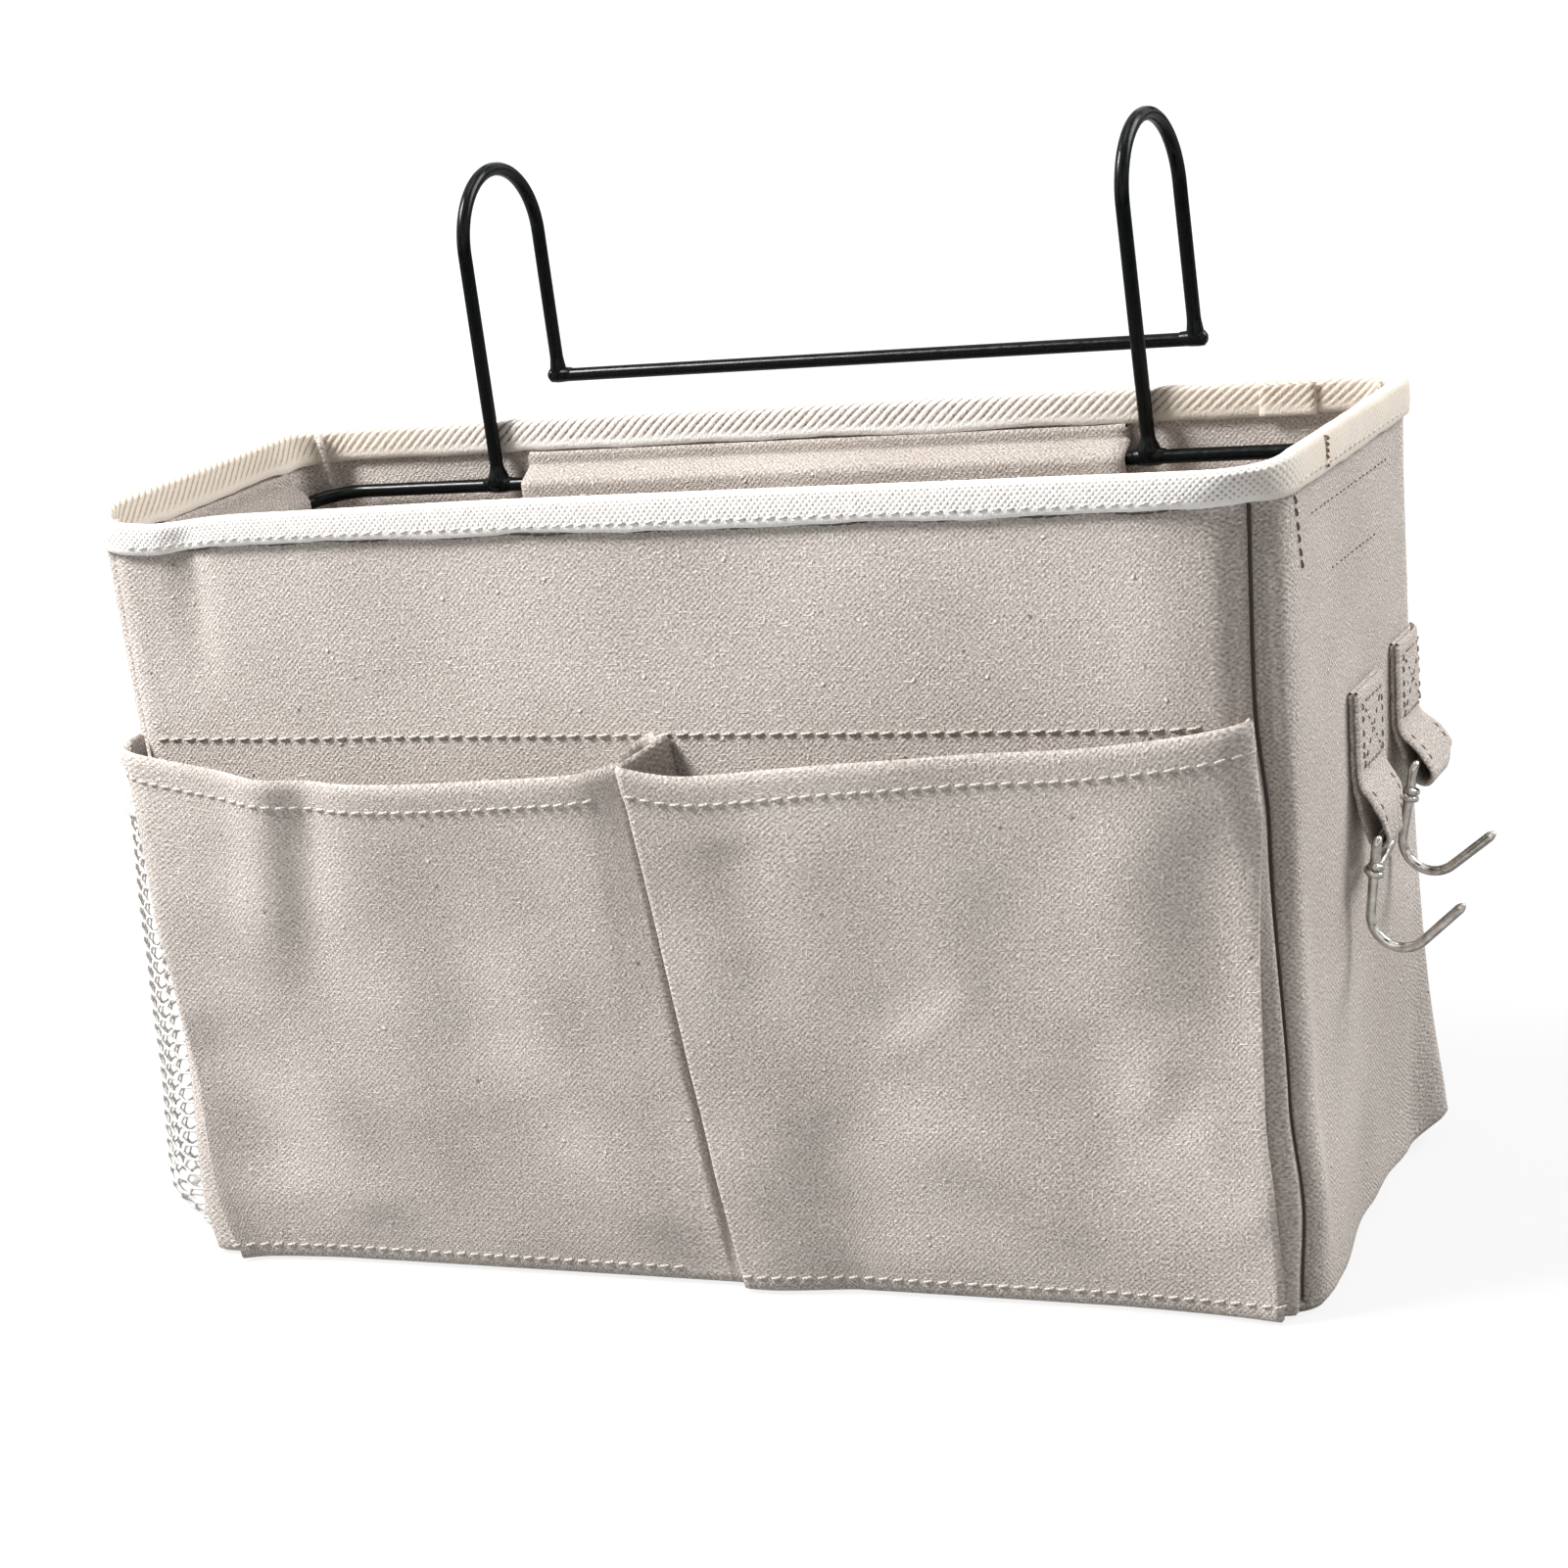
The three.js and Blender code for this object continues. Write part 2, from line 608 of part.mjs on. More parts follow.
// Loop: a band whose section is a drop, narrow at the hinge line and round at the fold.
function tabLoop({ length, fold }) {
  const nose = TAB_CLOTH + CLEAR / 2;
  const noseZ = -CLEAR / 2 - nose;
  const flank = Math.asin((fold - nose) / (length + noseZ));
  const circle = (z, radius, from, to, count) =>
    steps(from, to, count).map((angle) => [radius * Math.cos(angle), z + radius * Math.sin(angle)]);
  const drop = (cloth) => [
    ...circle(noseZ, nose - cloth, flank, Math.PI - flank, ARC_STEPS),
    ...circle(-length, fold - cloth, Math.PI - flank, 2 * Math.PI + flank, 2 * ARC_STEPS),
  ];
  const rows = (cloth) =>
    drop(cloth).map(([x, z]) => [vec(x, -TAB_WIDTH / 2, z), vec(x, TAB_WIDTH / 2, z)]);
  return gridSolid(rows(0), rows(TAB_CLOTH), { closedRows: true });
}

// J-hook, about the bar of its eye: the bar runs through the loop, the shank hangs at its front end.
function jHook() {
  const reach = TAB_WIDTH / 2 + CLEAR + HOOK_WIRE / 2;
  const lean = vec(-Math.sin(SHANK_LEAN), 0, -Math.cos(SHANK_LEAN));
  const outward = vec(Math.cos(SHANK_LEAN), 0, -Math.sin(SHANK_LEAN));
  const along = (drop, y) => lean.clone().multiplyScalar(drop).setY(y);
  const path = roundedPath(
    [
      along(EYE_KNOT, HOOK_WIRE + CLEAR - reach),
      along(EYE_DROP, reach),
      along(0, reach),
      along(0, -reach),
      along(SHANK, -reach),
    ],
    EYE_CORNER,
  );
  const bendCentre = along(SHANK, -reach).addScaledVector(outward, BEND);
  const sweep = Math.PI / 2 + SHANK_LEAN + TIP_RISE;
  const bend = new ArcCurve(
    bendCentre,
    outward.clone().multiplyScalar(-BEND),
    lean.clone().multiplyScalar(BEND),
    sweep,
  );
  path.add(bend);
  const bendEnd = bend.getPoint(1);
  const tipEnd = bendEnd.clone().add(vec(Math.cos(TIP_RISE), 0, Math.sin(TIP_RISE)).multiplyScalar(TIP));
  path.add(new THREE.LineCurve3(bendEnd, tipEnd));
  return wire(path, HOOK_WIRE, J_HOOK_STEPS);
}

// Scene graph

const finish = (color, roughness, metalness) => ({ color, roughness, metalness });
const CLOTH = finish('#c9beb4', 0.95, 0);
const COTTON = finish('#e4dccf', 0.95, 0);
const NET = finish('#f0ece6', 0.9, 0);
const BLACK_WIRE = finish('#101312', 0.35, 0.2);
const NICKEL = finish('#b9b6b0', 0.25, 1);

const caddy = new THREE.Group();

function place(parent, name, geometry, look) {
  const mesh = new THREE.Mesh(geometry, new THREE.MeshStandardMaterial(look));
  mesh.name = name;
  parent.add(mesh);
}

place(caddy, 'front_panel', wallPanel(faceRow, -1), CLOTH);
place(caddy, 'back_panel', wallPanel(faceRow, 1), CLOTH);
place(caddy, 'left_side_panel', wallPanel(sideRow, -1), CLOTH);
place(caddy, 'right_side_panel', wallPanel(sideRow, 1), CLOTH);
place(caddy, 'bottom_panel', bottomPanel(), CLOTH);
place(caddy, 'front_facing', frontFacing(), CLOTH);
place(caddy, 'rim_tape', rimTape(), COTTON);
place(caddy, 'front_pockets', frontPockets(), CLOTH);
place(caddy, 'mesh_pocket', meshPocket(), NET);
place(caddy, 'mesh_binding', meshBinding(), COTTON);
place(caddy, 'frame_wire', frameWire(), BLACK_WIRE);
place(caddy, 'left_hook', hookWire(HOOK_MIDDLE - HOOK_SPACING / 2), BLACK_WIRE);
place(caddy, 'right_hook', hookWire(HOOK_MIDDLE + HOOK_SPACING / 2), BLACK_WIRE);
const rearBarLength = HOOK_SPACING + 2 * REAR_BAR_OVERHANG;
place(caddy, 'rear_bar', straightBar(HOOK_MIDDLE, rearY, rearBarZ, rearBarLength, WIRE), BLACK_WIRE);
place(caddy, 'back_sleeve', backSleeve(), CLOTH);
place(caddy, 'left_sleeve', sideSleeve(-1), CLOTH);
place(caddy, 'right_sleeve', sideSleeve(1), CLOTH);

const tabs = [
  {
    name: 'front',
    middle: FRONT_TAB_MIDDLE,
    height: FRONT_TAB_HEIGHT,
    length: FRONT_TAB_LENGTH,
    fold: FRONT_TAB_FOLD,
    tilt: FRONT_TAB_TILT,
    swing: FRONT_HOOK_SWING,
  },
  {
    name: 'rear',
    middle: REAR_TAB_MIDDLE,
    height: REAR_TAB_HEIGHT,
    length: REAR_TAB_LENGTH,
    fold: REAR_TAB_FOLD,
    tilt: REAR_TAB_TILT,
    swing: REAR_HOOK_SWING,
  },
];
for (const tab of tabs) {
  const group = tabGroup(tab);
  caddy.add(group);
  place(group, `${tab.name}_tab`, tabSewn(), CLOTH);
  const loop = new THREE.Group();
  loop.rotation.y = -tab.tilt - group.rotation.y;
  group.add(loop);
  place(loop, `${tab.name}_tab_loop`, tabLoop(tab), CLOTH);
  const hang = new THREE.Group();
  hang.position.z = -tab.length - (tab.fold - TAB_CLOTH - CLEAR - HOOK_WIRE / 2);
  hang.rotation.y = tab.tilt + tab.swing;
  loop.add(hang);
  place(hang, `${tab.name}_j_hook`, jHook(), NICKEL);
}

export default caddy;
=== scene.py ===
"""Dresses the bedside caddy: canvas bag, pleated pockets, net, twill tape, wire frame and J-hooks.

Shapes are worked out in millimetres in the frame of the CAD and become metres when a mesh is made.
"""

import math

import bmesh
import bpy
import numpy as np
from mathutils import Matrix, Vector


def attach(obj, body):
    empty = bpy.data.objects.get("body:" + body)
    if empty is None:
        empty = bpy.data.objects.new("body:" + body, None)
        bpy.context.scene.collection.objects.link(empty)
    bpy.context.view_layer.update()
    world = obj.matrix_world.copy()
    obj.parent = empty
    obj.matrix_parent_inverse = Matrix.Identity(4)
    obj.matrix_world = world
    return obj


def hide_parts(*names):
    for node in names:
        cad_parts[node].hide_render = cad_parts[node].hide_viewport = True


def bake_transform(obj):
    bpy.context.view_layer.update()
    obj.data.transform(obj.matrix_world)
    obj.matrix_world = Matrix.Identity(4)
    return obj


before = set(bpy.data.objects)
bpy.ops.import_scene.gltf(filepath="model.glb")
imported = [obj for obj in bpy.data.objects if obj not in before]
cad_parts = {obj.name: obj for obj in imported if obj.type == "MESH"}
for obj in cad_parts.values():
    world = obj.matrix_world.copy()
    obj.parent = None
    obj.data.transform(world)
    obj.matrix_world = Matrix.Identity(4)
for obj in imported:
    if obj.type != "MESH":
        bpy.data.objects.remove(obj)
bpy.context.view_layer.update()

MM = 0.001
PI = math.pi

# Bag
BASE_WIDTH, BASE_DEPTH, BASE_CORNER = 243.0, 98.0, 6.0
RIM_WIDTH, RIM_DEPTH, RIM_CORNER = 260.0, 88.0, 12.0
HEIGHT = 161.0
WAIST = 3.0
SEAM = 40 / 90  # place of an upright seam on its corner, as a share of the turn from the front or back
SEAMS = ((1, SEAM), (3, 1 - SEAM), (5, SEAM), (7, 1 - SEAM))
CANVAS = 1.2
GAP = 0.3
WALL_TOP = 159.8
TAPE, TAPE_DROP = 0.9, 7.5

# Pockets
POCKET_FLOOR, POCKET_TOP = 1.0, 114.0
SWELL = 0.8
HEM = 6.0
HEM_STITCH, BASE_STITCH = 5.0, 3.6  # below the mouth, and above the floor
TOP_STITCH, TAPE_STITCH = 113.0, 155.2  # heights of the rows across the front and round the rim

# Channels and facing inside the bag
SLEEVE_TOP = 152.6
BACK_SLEEVE, SIDE_SLEEVE = (-71.5, 68.5), (-29.0, 27.0)  # ends in X, and in Y
LINING_IN = 2.1  # from the wall's face to the middle of the layer inside

# Net
NET_FLOOR, NET_TOP = 3.0, 102.0
NET_LOW, NET_HIGH, NET_RISE = 19.6, 18.0, 0.07
NET_FRONT = 1.3  # how much fuller the net is towards the front
CELL_WIDE, CELL_HIGH = 5.2, 3.25

# Wire
WIRE = 3.0
BAR_Y, BAR_Z, FRAME_CORNER = 39.8, 146.5, 12.0
ARM_X, ARM_Z, ARM_FRONT = 125.3, 139.5, -26.0
REAR_Y, REAR_Z = 72.3, 164.6
HOOK_X, HOOK_TOP, REACH = (-79.1, 73.9), 213.5, 32.5
ROD_END = 1.8  # how far the rear rod goes past each hook
BEAD = 3.4  # reach of a weld along its rod

# Tabs and J-hooks
TAB_WIDTH, TAB_CLOTH, TAB_SEWN = 17.5, 0.95, 17.3
TAB_LAYER = 0.56  # from the middle of the sewn tab to each of its layers
LOOP_FOLD = 1.9  # radius of a loop's lower fold
HOOK_WIRE, EYE_BEND, SHANK, CURL, TIP = 2.0, 1.3, 14.6, 6.0, 11.0


# Small sums


def lerp(a, b, t):
    return a + (b - a) * t


def smooth(x, low, high):
    t = np.clip((np.asarray(x, float) - low) / (high - low), 0, 1)
    return t * t * (3 - 2 * t)


def hump(x, middle, width):
    return np.exp(-(((np.asarray(x, float) - middle) / width) ** 2))


def eased(x, knots, values):
    """A smooth curve through the values at the knots, level at each of them."""
    x = np.asarray(x, float)
    out = np.full(x.shape, float(values[0]))
    for a, b, p, q in zip(knots, knots[1:], values, values[1:]):
        out += (q - p) * smooth(x, a, b)
    return out


def xyz(*columns):
    """Points from their coordinates."""
    return np.stack(np.broadcast_arrays(*columns), -1)


def unit(v):
    v = np.asarray(v, float)
    return v / np.maximum(np.linalg.norm(v, axis=-1, keepdims=True), 1e-9)


def spline(points, count):
    """count points for each span of a smooth curve through the points (any number of columns)."""
    p = np.asarray(points, float)
    p = np.vstack([2 * p[0] - p[1], p, 2 * p[-1] - p[-2]])
    out = []
    for a, b, c, d in zip(p, p[1:], p[2:], p[3:]):
        t = np.linspace(0, 1, count, endpoint=False)[:, None]
        square, cube = (2 * a - 5 * b + 4 * c - d) * t**2, (3 * b - a - 3 * c + d) * t**3
        out.append(0.5 * (2 * b + (c - a) * t + square + cube))
    return np.vstack(out + [p[-2:-1]])


def walked(line):
    """Distance of each point from the start of a line."""
    return np.concatenate([[0], np.cumsum(np.linalg.norm(np.diff(line, axis=0), axis=1))])


def spaced(line, step):
    """The line again with even steps."""
    along = walked(line)
    at = np.linspace(0, along[-1], max(2, round(along[-1] / step) + 1))
    return np.stack([np.interp(at, along, line[:, k]) for k in range(line.shape[1])], axis=1)


def noise(p, scale, seed):
    """Slow waves over points, from -1 to 1, made of a few slanted sines."""
    p = np.asarray(p, float) / scale
    total = 0
    for k in range(5):
        a = seed * 1.7 + k * 2.399
        way = np.array([math.cos(a), math.sin(a * 1.3), math.sin(a)])
        total = total + np.sin((p @ way) * (1 + 0.45 * k) + seed + 3.1 * k) / (1 + 0.35 * k)
    return total / 2.6


# Meshes


def normals(p, wrap=False):
    """Which way the cloth of a grid of points faces."""
    across = np.roll(p, -1, 1) - np.roll(p, 1, 1) if wrap else np.gradient(p, axis=1)
    return unit(np.cross(across, np.gradient(p, axis=0)))


def grid(points, u, v, wrap=False):
    """Points, quads and the texture corners of a grid of points; u goes by column and v by row."""
    rows, cols = points.shape[:2]
    i, j = np.meshgrid(np.arange(rows - 1), np.arange(cols if wrap else cols - 1), indexing="ij")
    a, b = np.stack([i, i, i + 1, i + 1], -1), np.stack([j, j + 1, j + 1, j], -1)
    corners = np.stack([np.asarray(u)[b], np.asarray(v)[a]], -1)
    return points.reshape(-1, 3), (a * cols + b % cols).reshape(-1, 4), corners.reshape(-1, 4, 2)


def spans(p, wrap=False):
    """Mean distances along a grid by column and by row, so that the weave lies true on it."""
    q = np.concatenate([p, p[:, :1]], 1) if wrap else p
    u = np.concatenate([[0], np.cumsum(np.linalg.norm(np.diff(q, axis=1), axis=2).mean(0))])
    v = np.concatenate([[0], np.cumsum(np.linalg.norm(np.diff(p, axis=0), axis=2).mean(1))])
    return u, v


def slab(mid, cloth, wrap=False, start=(0, 0)):
    """A sheet of cloth about a grid of points, with round edges."""
    n, half = normals(mid, wrap), np.broadcast_to(cloth, mid.shape[:2])[..., None] / 2
    face, back = mid + n * half, mid - n * half
    u, v = (a + b for a, b in zip(spans(mid, wrap), start))
    parts = [grid(face, u, v, wrap), grid(back[::-1], u, v[::-1], wrap)]

    def tip(edge, inner, h):
        return edge + unit(edge - inner) * h * 0.9

    for row, inner, order in ((-1, -2, 1), (0, 1, -1)):
        rim = np.stack([face[row], tip(mid[row], mid[inner], half[row]), back[row]])[::order]
        parts.append(grid(rim, u, v[row] + np.array([0, 0.5, 1]) * order, wrap))
    if not wrap:
        for col, inner, order in ((-1, -2, -1), (0, 1, 1)):
            end = tip(mid[:, col], mid[:, inner], half[:, col])
            rim = np.stack([back[:, col], end, face[:, col]], 1)[:, ::order]
            parts.append(grid(rim, u[col] + np.array([0, 0.5, 1]), v))
    return parts


def tube(line, radius, sides, caps=True):
    """A round rod along a line; the radius may change from point to point."""
    line = np.asarray(line, float)
    radius = np.broadcast_to(np.asarray(radius, float), len(line))
    way = unit(np.gradient(line, axis=0))
    side = np.cross(way[0], [0.31, 0.17, 0.93])
    rings = []
    turn = np.linspace(0, 2 * PI, sides, endpoint=False)
    for p, d, r in zip(line, way, radius):
        side = unit(side - d * (side @ d))
        rings.append(p + r * (np.cos(turn)[:, None] * side + np.sin(turn)[:, None] * np.cross(d, side)))
    rings = np.array(rings)
    if caps:
        dome = ((0.38, 0.6), (0.5, 0.02))
        first, last = rings[:1] - line[0], rings[-1:] - line[-1]
        ends = [line[0] - way[0] * radius[0] * k + first * w for k, w in dome[::-1]]
        more = [line[-1] + way[-1] * radius[-1] * k + last * w for k, w in dome]
        rings = np.concatenate(ends + [rings] + more)
    u, v = np.linspace(0, 2 * PI * radius.mean(), sides + 1), spans(rings)[1]
    return [grid(rings, u, v, wrap=True)]


def made(name, parts, look, body="caddy", nodes=(), sharp=55):
    """One mesh of these parts that stands for those CAD nodes and moves with that body."""
    points, faces, corners = zip(*parts)
    starts = np.cumsum([0] + [len(p) for p in points])
    faces = np.concatenate([f + s for f, s in zip(faces, starts)])
    mesh = bpy.data.meshes.new(name)
    mesh.from_pydata((np.concatenate(points) * MM).tolist(), [], faces.tolist())
    mesh.uv_layers.new(name="cloth").data.foreach_set("uv", np.concatenate(corners).ravel() * MM)
    shape = bmesh.new()
    shape.from_mesh(mesh)
    bmesh.ops.remove_doubles(shape, verts=shape.verts, dist=2e-6)
    shape.to_mesh(mesh)
    shape.free()
    mesh.polygons.foreach_set("use_smooth", [True] * len(mesh.polygons))
    mesh.set_sharp_from_angle(angle=math.radians(sharp))
    mesh.materials.append(look)
    obj = bpy.data.objects.new(name, mesh)
    bpy.context.scene.collection.objects.link(obj)
    if nodes:
        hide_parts(*nodes)
    if body:
        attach(obj, body)
    return obj


# Looks


class Nodes:
    """A node tree with short words for its nodes."""

    def __init__(self, tree):
        self.tree = tree

    def set(self, socket, value):
        if isinstance(value, bpy.types.NodeSocket):
            self.tree.links.new(value, socket)
        else:
            socket.default_value = value

    def node(self, kind, out=0, settings=(), **inputs):
        """An output of a new node; an input is named by its label, or by i and its number."""
        n = self.tree.nodes.new("ShaderNode" + kind)
        for key, value in settings:
            setattr(n, key, value)
        for key, value in inputs.items():
            self.set(n.inputs[int(key[1:]) if key[1:].isdigit() else key.replace("_", " ")], value)
        return n.outputs[out]

    def math(self, how, a, b=0.0, c=0.0):
        return self.node("Math", settings=[("operation", how)], i0=a, i1=b, i2=c)

    def times(self, a, b):
        return self.math("MULTIPLY", a, b)

    def total(self, *terms):
        """The sum of some values, each times its weight."""
        out = 0.0
        for value, weight in terms:
            out = self.math("MULTIPLY_ADD", value, weight, out)
        return out

    def place(self, u, v):
        """Where a point is on the flat cloth, times these numbers per metre."""
        uv = self.node("UVMap", settings=[("uv_map", "cloth")])
        return self.node("VectorMath", settings=[("operation", "MULTIPLY")], i0=uv, i1=(u, v, 1.0))

    def split(self, vector):
        return self.node("SeparateXYZ", i0=vector).node.outputs[:2]

    def noise(self, u, v, detail, rough=0.5):
        return self.node("TexNoise", Vector=self.place(u, v), Scale=1.0, Detail=detail, Roughness=rough)

    def range(self, value, low, high, to_low=0.0, to_high=1.0):
        return self.node("MapRange", Value=value, From_Min=low, From_Max=high, To_Min=to_low, To_Max=to_high)

    def mix(self, factor, a, b):
        return self.node("Mix", 2, settings=[("data_type", "RGBA")], i0=factor, i6=a, i7=b)


class Look(Nodes):
    """A material with one principled shader."""

    def __init__(self, name, **values):
        self.material = bpy.data.materials.new(name)
        self.material.use_nodes = True
        super().__init__(self.material.node_tree)
        self.shader = self.tree.nodes["Principled BSDF"]
        for key, value in values.items():
            self.give(key.replace("_", " "), value)

    def give(self, key, value):
        self.set(self.shader.inputs[key], value)

    def bump(self, height, distance, strength):
        self.give("Normal", self.node("Bump", Strength=strength, Distance=distance, Height=height))


def colour(r, g, b):
    """A colour written as it is seen, from 0 to 255, as the shader takes it."""
    return tuple(((c / 255 + 0.055) / 1.055) ** 2.4 if c > 10 else c / 3294 for c in (r, g, b)) + (1,)


def canvas_look(name, pale, deep):
    """Canvas of uneven yarns: a plain weave, short slubs, pale nubs and specks, and dark pits."""
    k = Look(name, Roughness=0.95, Sheen_Weight=0.08, Sheen_Roughness=0.6, Specular_IOR_Level=0.12)
    warp_pitch, weft_pitch = 0.0012, 0.0011
    ways = k.split(k.place(2 * PI / warp_pitch, 2 * PI / weft_pitch))
    shift = k.times(k.noise(420, 420, 2), 4.0)
    rib = k.times(*(k.math("SINE", k.math("ADD", way, shift)) for way in ways))
    grain = k.noise(1700, 1700, 3, 0.75)
    along, up = k.noise(380, 1700, 1), k.noise(1700, 380, 1)
    slubs = k.math("ADD", k.range(along, 0.62, 0.78), k.range(up, 0.64, 0.8))

    def dots(count, near, far):
        """Round dots, count to the metre, and a number from 0 to 1 for the lot of each."""
        cells = k.node("TexVoronoi", "Distance", Vector=k.place(count, count), Scale=1.0)
        return k.range(cells, far, near), k.node("SeparateColor", i0=cells.node.outputs["Color"])

    large, lot = dots(215, 0.03, 0.125)
    small, chance = dots(620, 0.08, 0.26)
    nub = k.times(large, k.math("GREATER_THAN", lot, 0.72))
    pit = k.times(large, k.math("LESS_THAN", lot, 0.12))
    speck = k.times(small, k.math("GREATER_THAN", chance, 0.8))
    tone = k.total((grain, 1.6), (rib, 0.11), (slubs, 0.28), (k.noise(26, 26, 3), 0.3))
    base = k.mix(k.range(tone, 0.6, 1.34), deep, pale)
    pale_spot = k.math("MAXIMUM", nub, k.times(speck, 0.7))
    base = k.mix(k.times(pale_spot, 0.72), base, colour(252, 248, 242))
    k.give("Base Color", k.mix(k.times(pit, 0.65), base, colour(92, 78, 66)))
    height = k.total((grain, 1.2), (rib, 0.16), (slubs, 0.42), (speck, 0.5), (nub, 1.7), (pit, -0.7))
    k.bump(height, 0.00042, 0.9)
    return k.material


def tape_look(name, pale, deep, cream):
    """Cotton twill tape: slanting ridges broken by the weft, plain along its edges. Its furrows are painted
    darker as painted shade, a deeper brown on its inside, and it is creamier over the right side and at the
    back left corner."""
    k = Look(name, Roughness=0.9, Sheen_Weight=0.12, Sheen_Roughness=0.5, Specular_IOR_Level=0.2)
    u, v = k.split(k.place(1, 1))
    wander = k.noise(160, 160, 1)
    inner = k.range(v, 0.008, 0.0095)
    right = k.times(k.range(u, 0.238, 0.254), k.range(u, 0.344, 0.332))
    worn = k.times(right, k.range(v, 0.010, 0.009))
    twill = k.times(k.range(v, 0.0014, 0.0026), k.range(v, 0.0158, 0.0144))
    twill = k.times(twill, k.math("MULTIPLY_ADD", worn, -0.5, 1.0))

    def lines(across, along):
        """Slanting lines, so many to the metre each way."""
        wave = k.total((wander, 1.8), (v, 2 * PI * along), (u, 2 * PI * across))
        return k.times(k.math("SINE", wave), twill)

    dots = k.times(k.math("ADD", lines(-780, 690), lines(780, 690)), 0.55)
    ridge = k.node("Mix", i0=inner, i2=dots, i3=lines(-440, 520))
    grain = k.noise(1900, 1300, 2)
    k.bump(k.total((grain, 1.0), (ridge, 0.4)), 0.00022, 0.7)
    # Darker in the furrows of the twill, which is painted shade, and darker at random with the grain
    tone = k.range(k.total((grain, 0.7), (ridge, 0.6)), -0.3, 0.3)
    # On the inside of the bag the dark end is a deeper brown: painted shade in the furrows there
    base = k.mix(tone, k.mix(inner, deep, colour(122, 94, 64)), pale)
    back = k.math("MAXIMUM", k.range(u, 0.42, 0.37), k.range(u, 0.520, 0.560))
    back = k.times(k.times(back, k.range(u, 0.236, 0.240)), inner)
    # Creamier over the right side, and on the inside at the back left corner
    cream_share = k.math("MAXIMUM", k.times(right, 0.6), k.times(back, 0.55))
    k.give("Base Color", k.mix(cream_share, base, cream))
    return k.material


def plain_thread(name, tint):
    """Twisted thread, with painted shade between the turns of the twist."""
    k = Look(name, Roughness=0.7, Sheen_Weight=0.25)
    slanting = [("bands_direction", "DIAGONAL")]
    twist = k.node("TexWave", 1, settings=slanting, Vector=k.place(2300, 900), Scale=1.0, Distortion=1.5)
    # Painted darker between the turns of the twist: painted shade
    k.give("Base Color", k.mix(twist, colour(*[c * 0.82 for c in tint]), colour(*tint)))
    k.bump(twist, 0.00012, 0.6)
    return k.material


def coated_wire(name):
    """Near-black coating with a soft gloss, faint ripples and worn specks."""
    k = Look(name, Metallic=0.0, Specular_IOR_Level=0.14)
    ripple = k.noise(300, 90, 3)
    k.give("Roughness", k.range(k.noise(900, 500, 3), 0.3, 0.7, 0.14, 0.30))
    k.give("Base Color", k.mix(ripple, colour(3, 6, 6), colour(10, 14, 13)))
    k.bump(ripple, 0.00025, 0.35)
    return k.material


def plated_wire(name):
    """Nickel plate: bright, with drawing lines along the wire and a few dull marks."""
    k = Look(name, Metallic=1.0)
    lines, marks = k.noise(5200, 60, 2), k.noise(420, 420, 4, 0.6)
    k.give("Roughness", k.range(k.math("ADD", lines, marks), 0.7, 1.4, 0.08, 0.24))
    k.give("Base Color", k.mix(k.range(marks, 0.35, 0.7), colour(168, 164, 158), colour(222, 218, 212)))
    k.bump(lines, 0.00006, 0.5)
    return k.material


CLOTH = canvas_look("natural canvas", colour(245, 237, 230), colour(140, 127, 118))
# A darker copy of the same canvas for the channels inside the bag: painted shade
SHADED_CANVAS = canvas_look("canvas inside painted shade", colour(224, 215, 207), colour(124, 112, 104))
COTTON = tape_look("twill tape", colour(252, 250, 247), colour(158, 142, 122), colour(200, 182, 158))
NET = plain_thread("net yarn", (240, 238, 234))
THREAD = plain_thread("pale thread", (232, 225, 215))
TAB_THREAD = plain_thread("tab thread", (146, 131, 118))
DARK_THREAD = plain_thread("brown thread", (150, 118, 86))
# Dark taupe for painted shade in needle holes and a painted shadow line below the front tape, and for darker
# thread by the right seam
TAUPE_THREAD_AND_SHADE = plain_thread("taupe thread and painted shade", (112, 99, 89))
# Near-black brown for the thread in the upright seams: painted shade of their crevice
SEAM_SHADE_THREAD = plain_thread("seam thread painted shade", (72, 58, 49))
BLACK = coated_wire("black coated wire")
NICKEL = plated_wire("nickel wire")


# Walls of the bag


def wall_plan(z):
    """Half width at the front and at the back, half depth and corner radius at a height."""
    share = np.asarray(z, float) / HEIGHT
    half = lerp(BASE_WIDTH, RIM_WIDTH, share) / 2
    return (
        half,
        half - WAIST * np.sin(PI * np.clip(share, 0, 1)),
        lerp(BASE_DEPTH, RIM_DEPTH, share) / 2,
        lerp(BASE_CORNER, RIM_CORNER, share),
    )


def wall_point(side, t, z, off=0.0):
    """A point off mm outside the wall. Sides 0, 2, 4, 6 are front, right, back, left, with the corners
    between them; t goes from 0 to 1 along each, anticlockwise seen from above."""
    t, z, off = np.broadcast_arrays(*(np.asarray(a, float) for a in (t, z, off)))
    f, b, d, c = wall_plan(z)
    s, k, r = np.sin(t * PI / 2), np.cos(t * PI / 2), c + off
    x, y = [
        lambda: ((f - c) * (2 * t - 1), -d - off),
        lambda: (f - c + r * s, c - d - r * k),
        lambda: (lerp(f, b, t) + off, (d - c) * (2 * t - 1)),
        lambda: (b - c + r * k, d - c + r * s),
        lambda: ((b - c) * (1 - 2 * t), d + off),
        lambda: (c - b - r * s, d - c + r * k),
        lambda: (-lerp(b, f, t) - off, (d - c) * (1 - 2 * t)),
        lambda: (c - f - r * k, c - d - r * s),
    ][side]()
    return xyz(x, y, z)


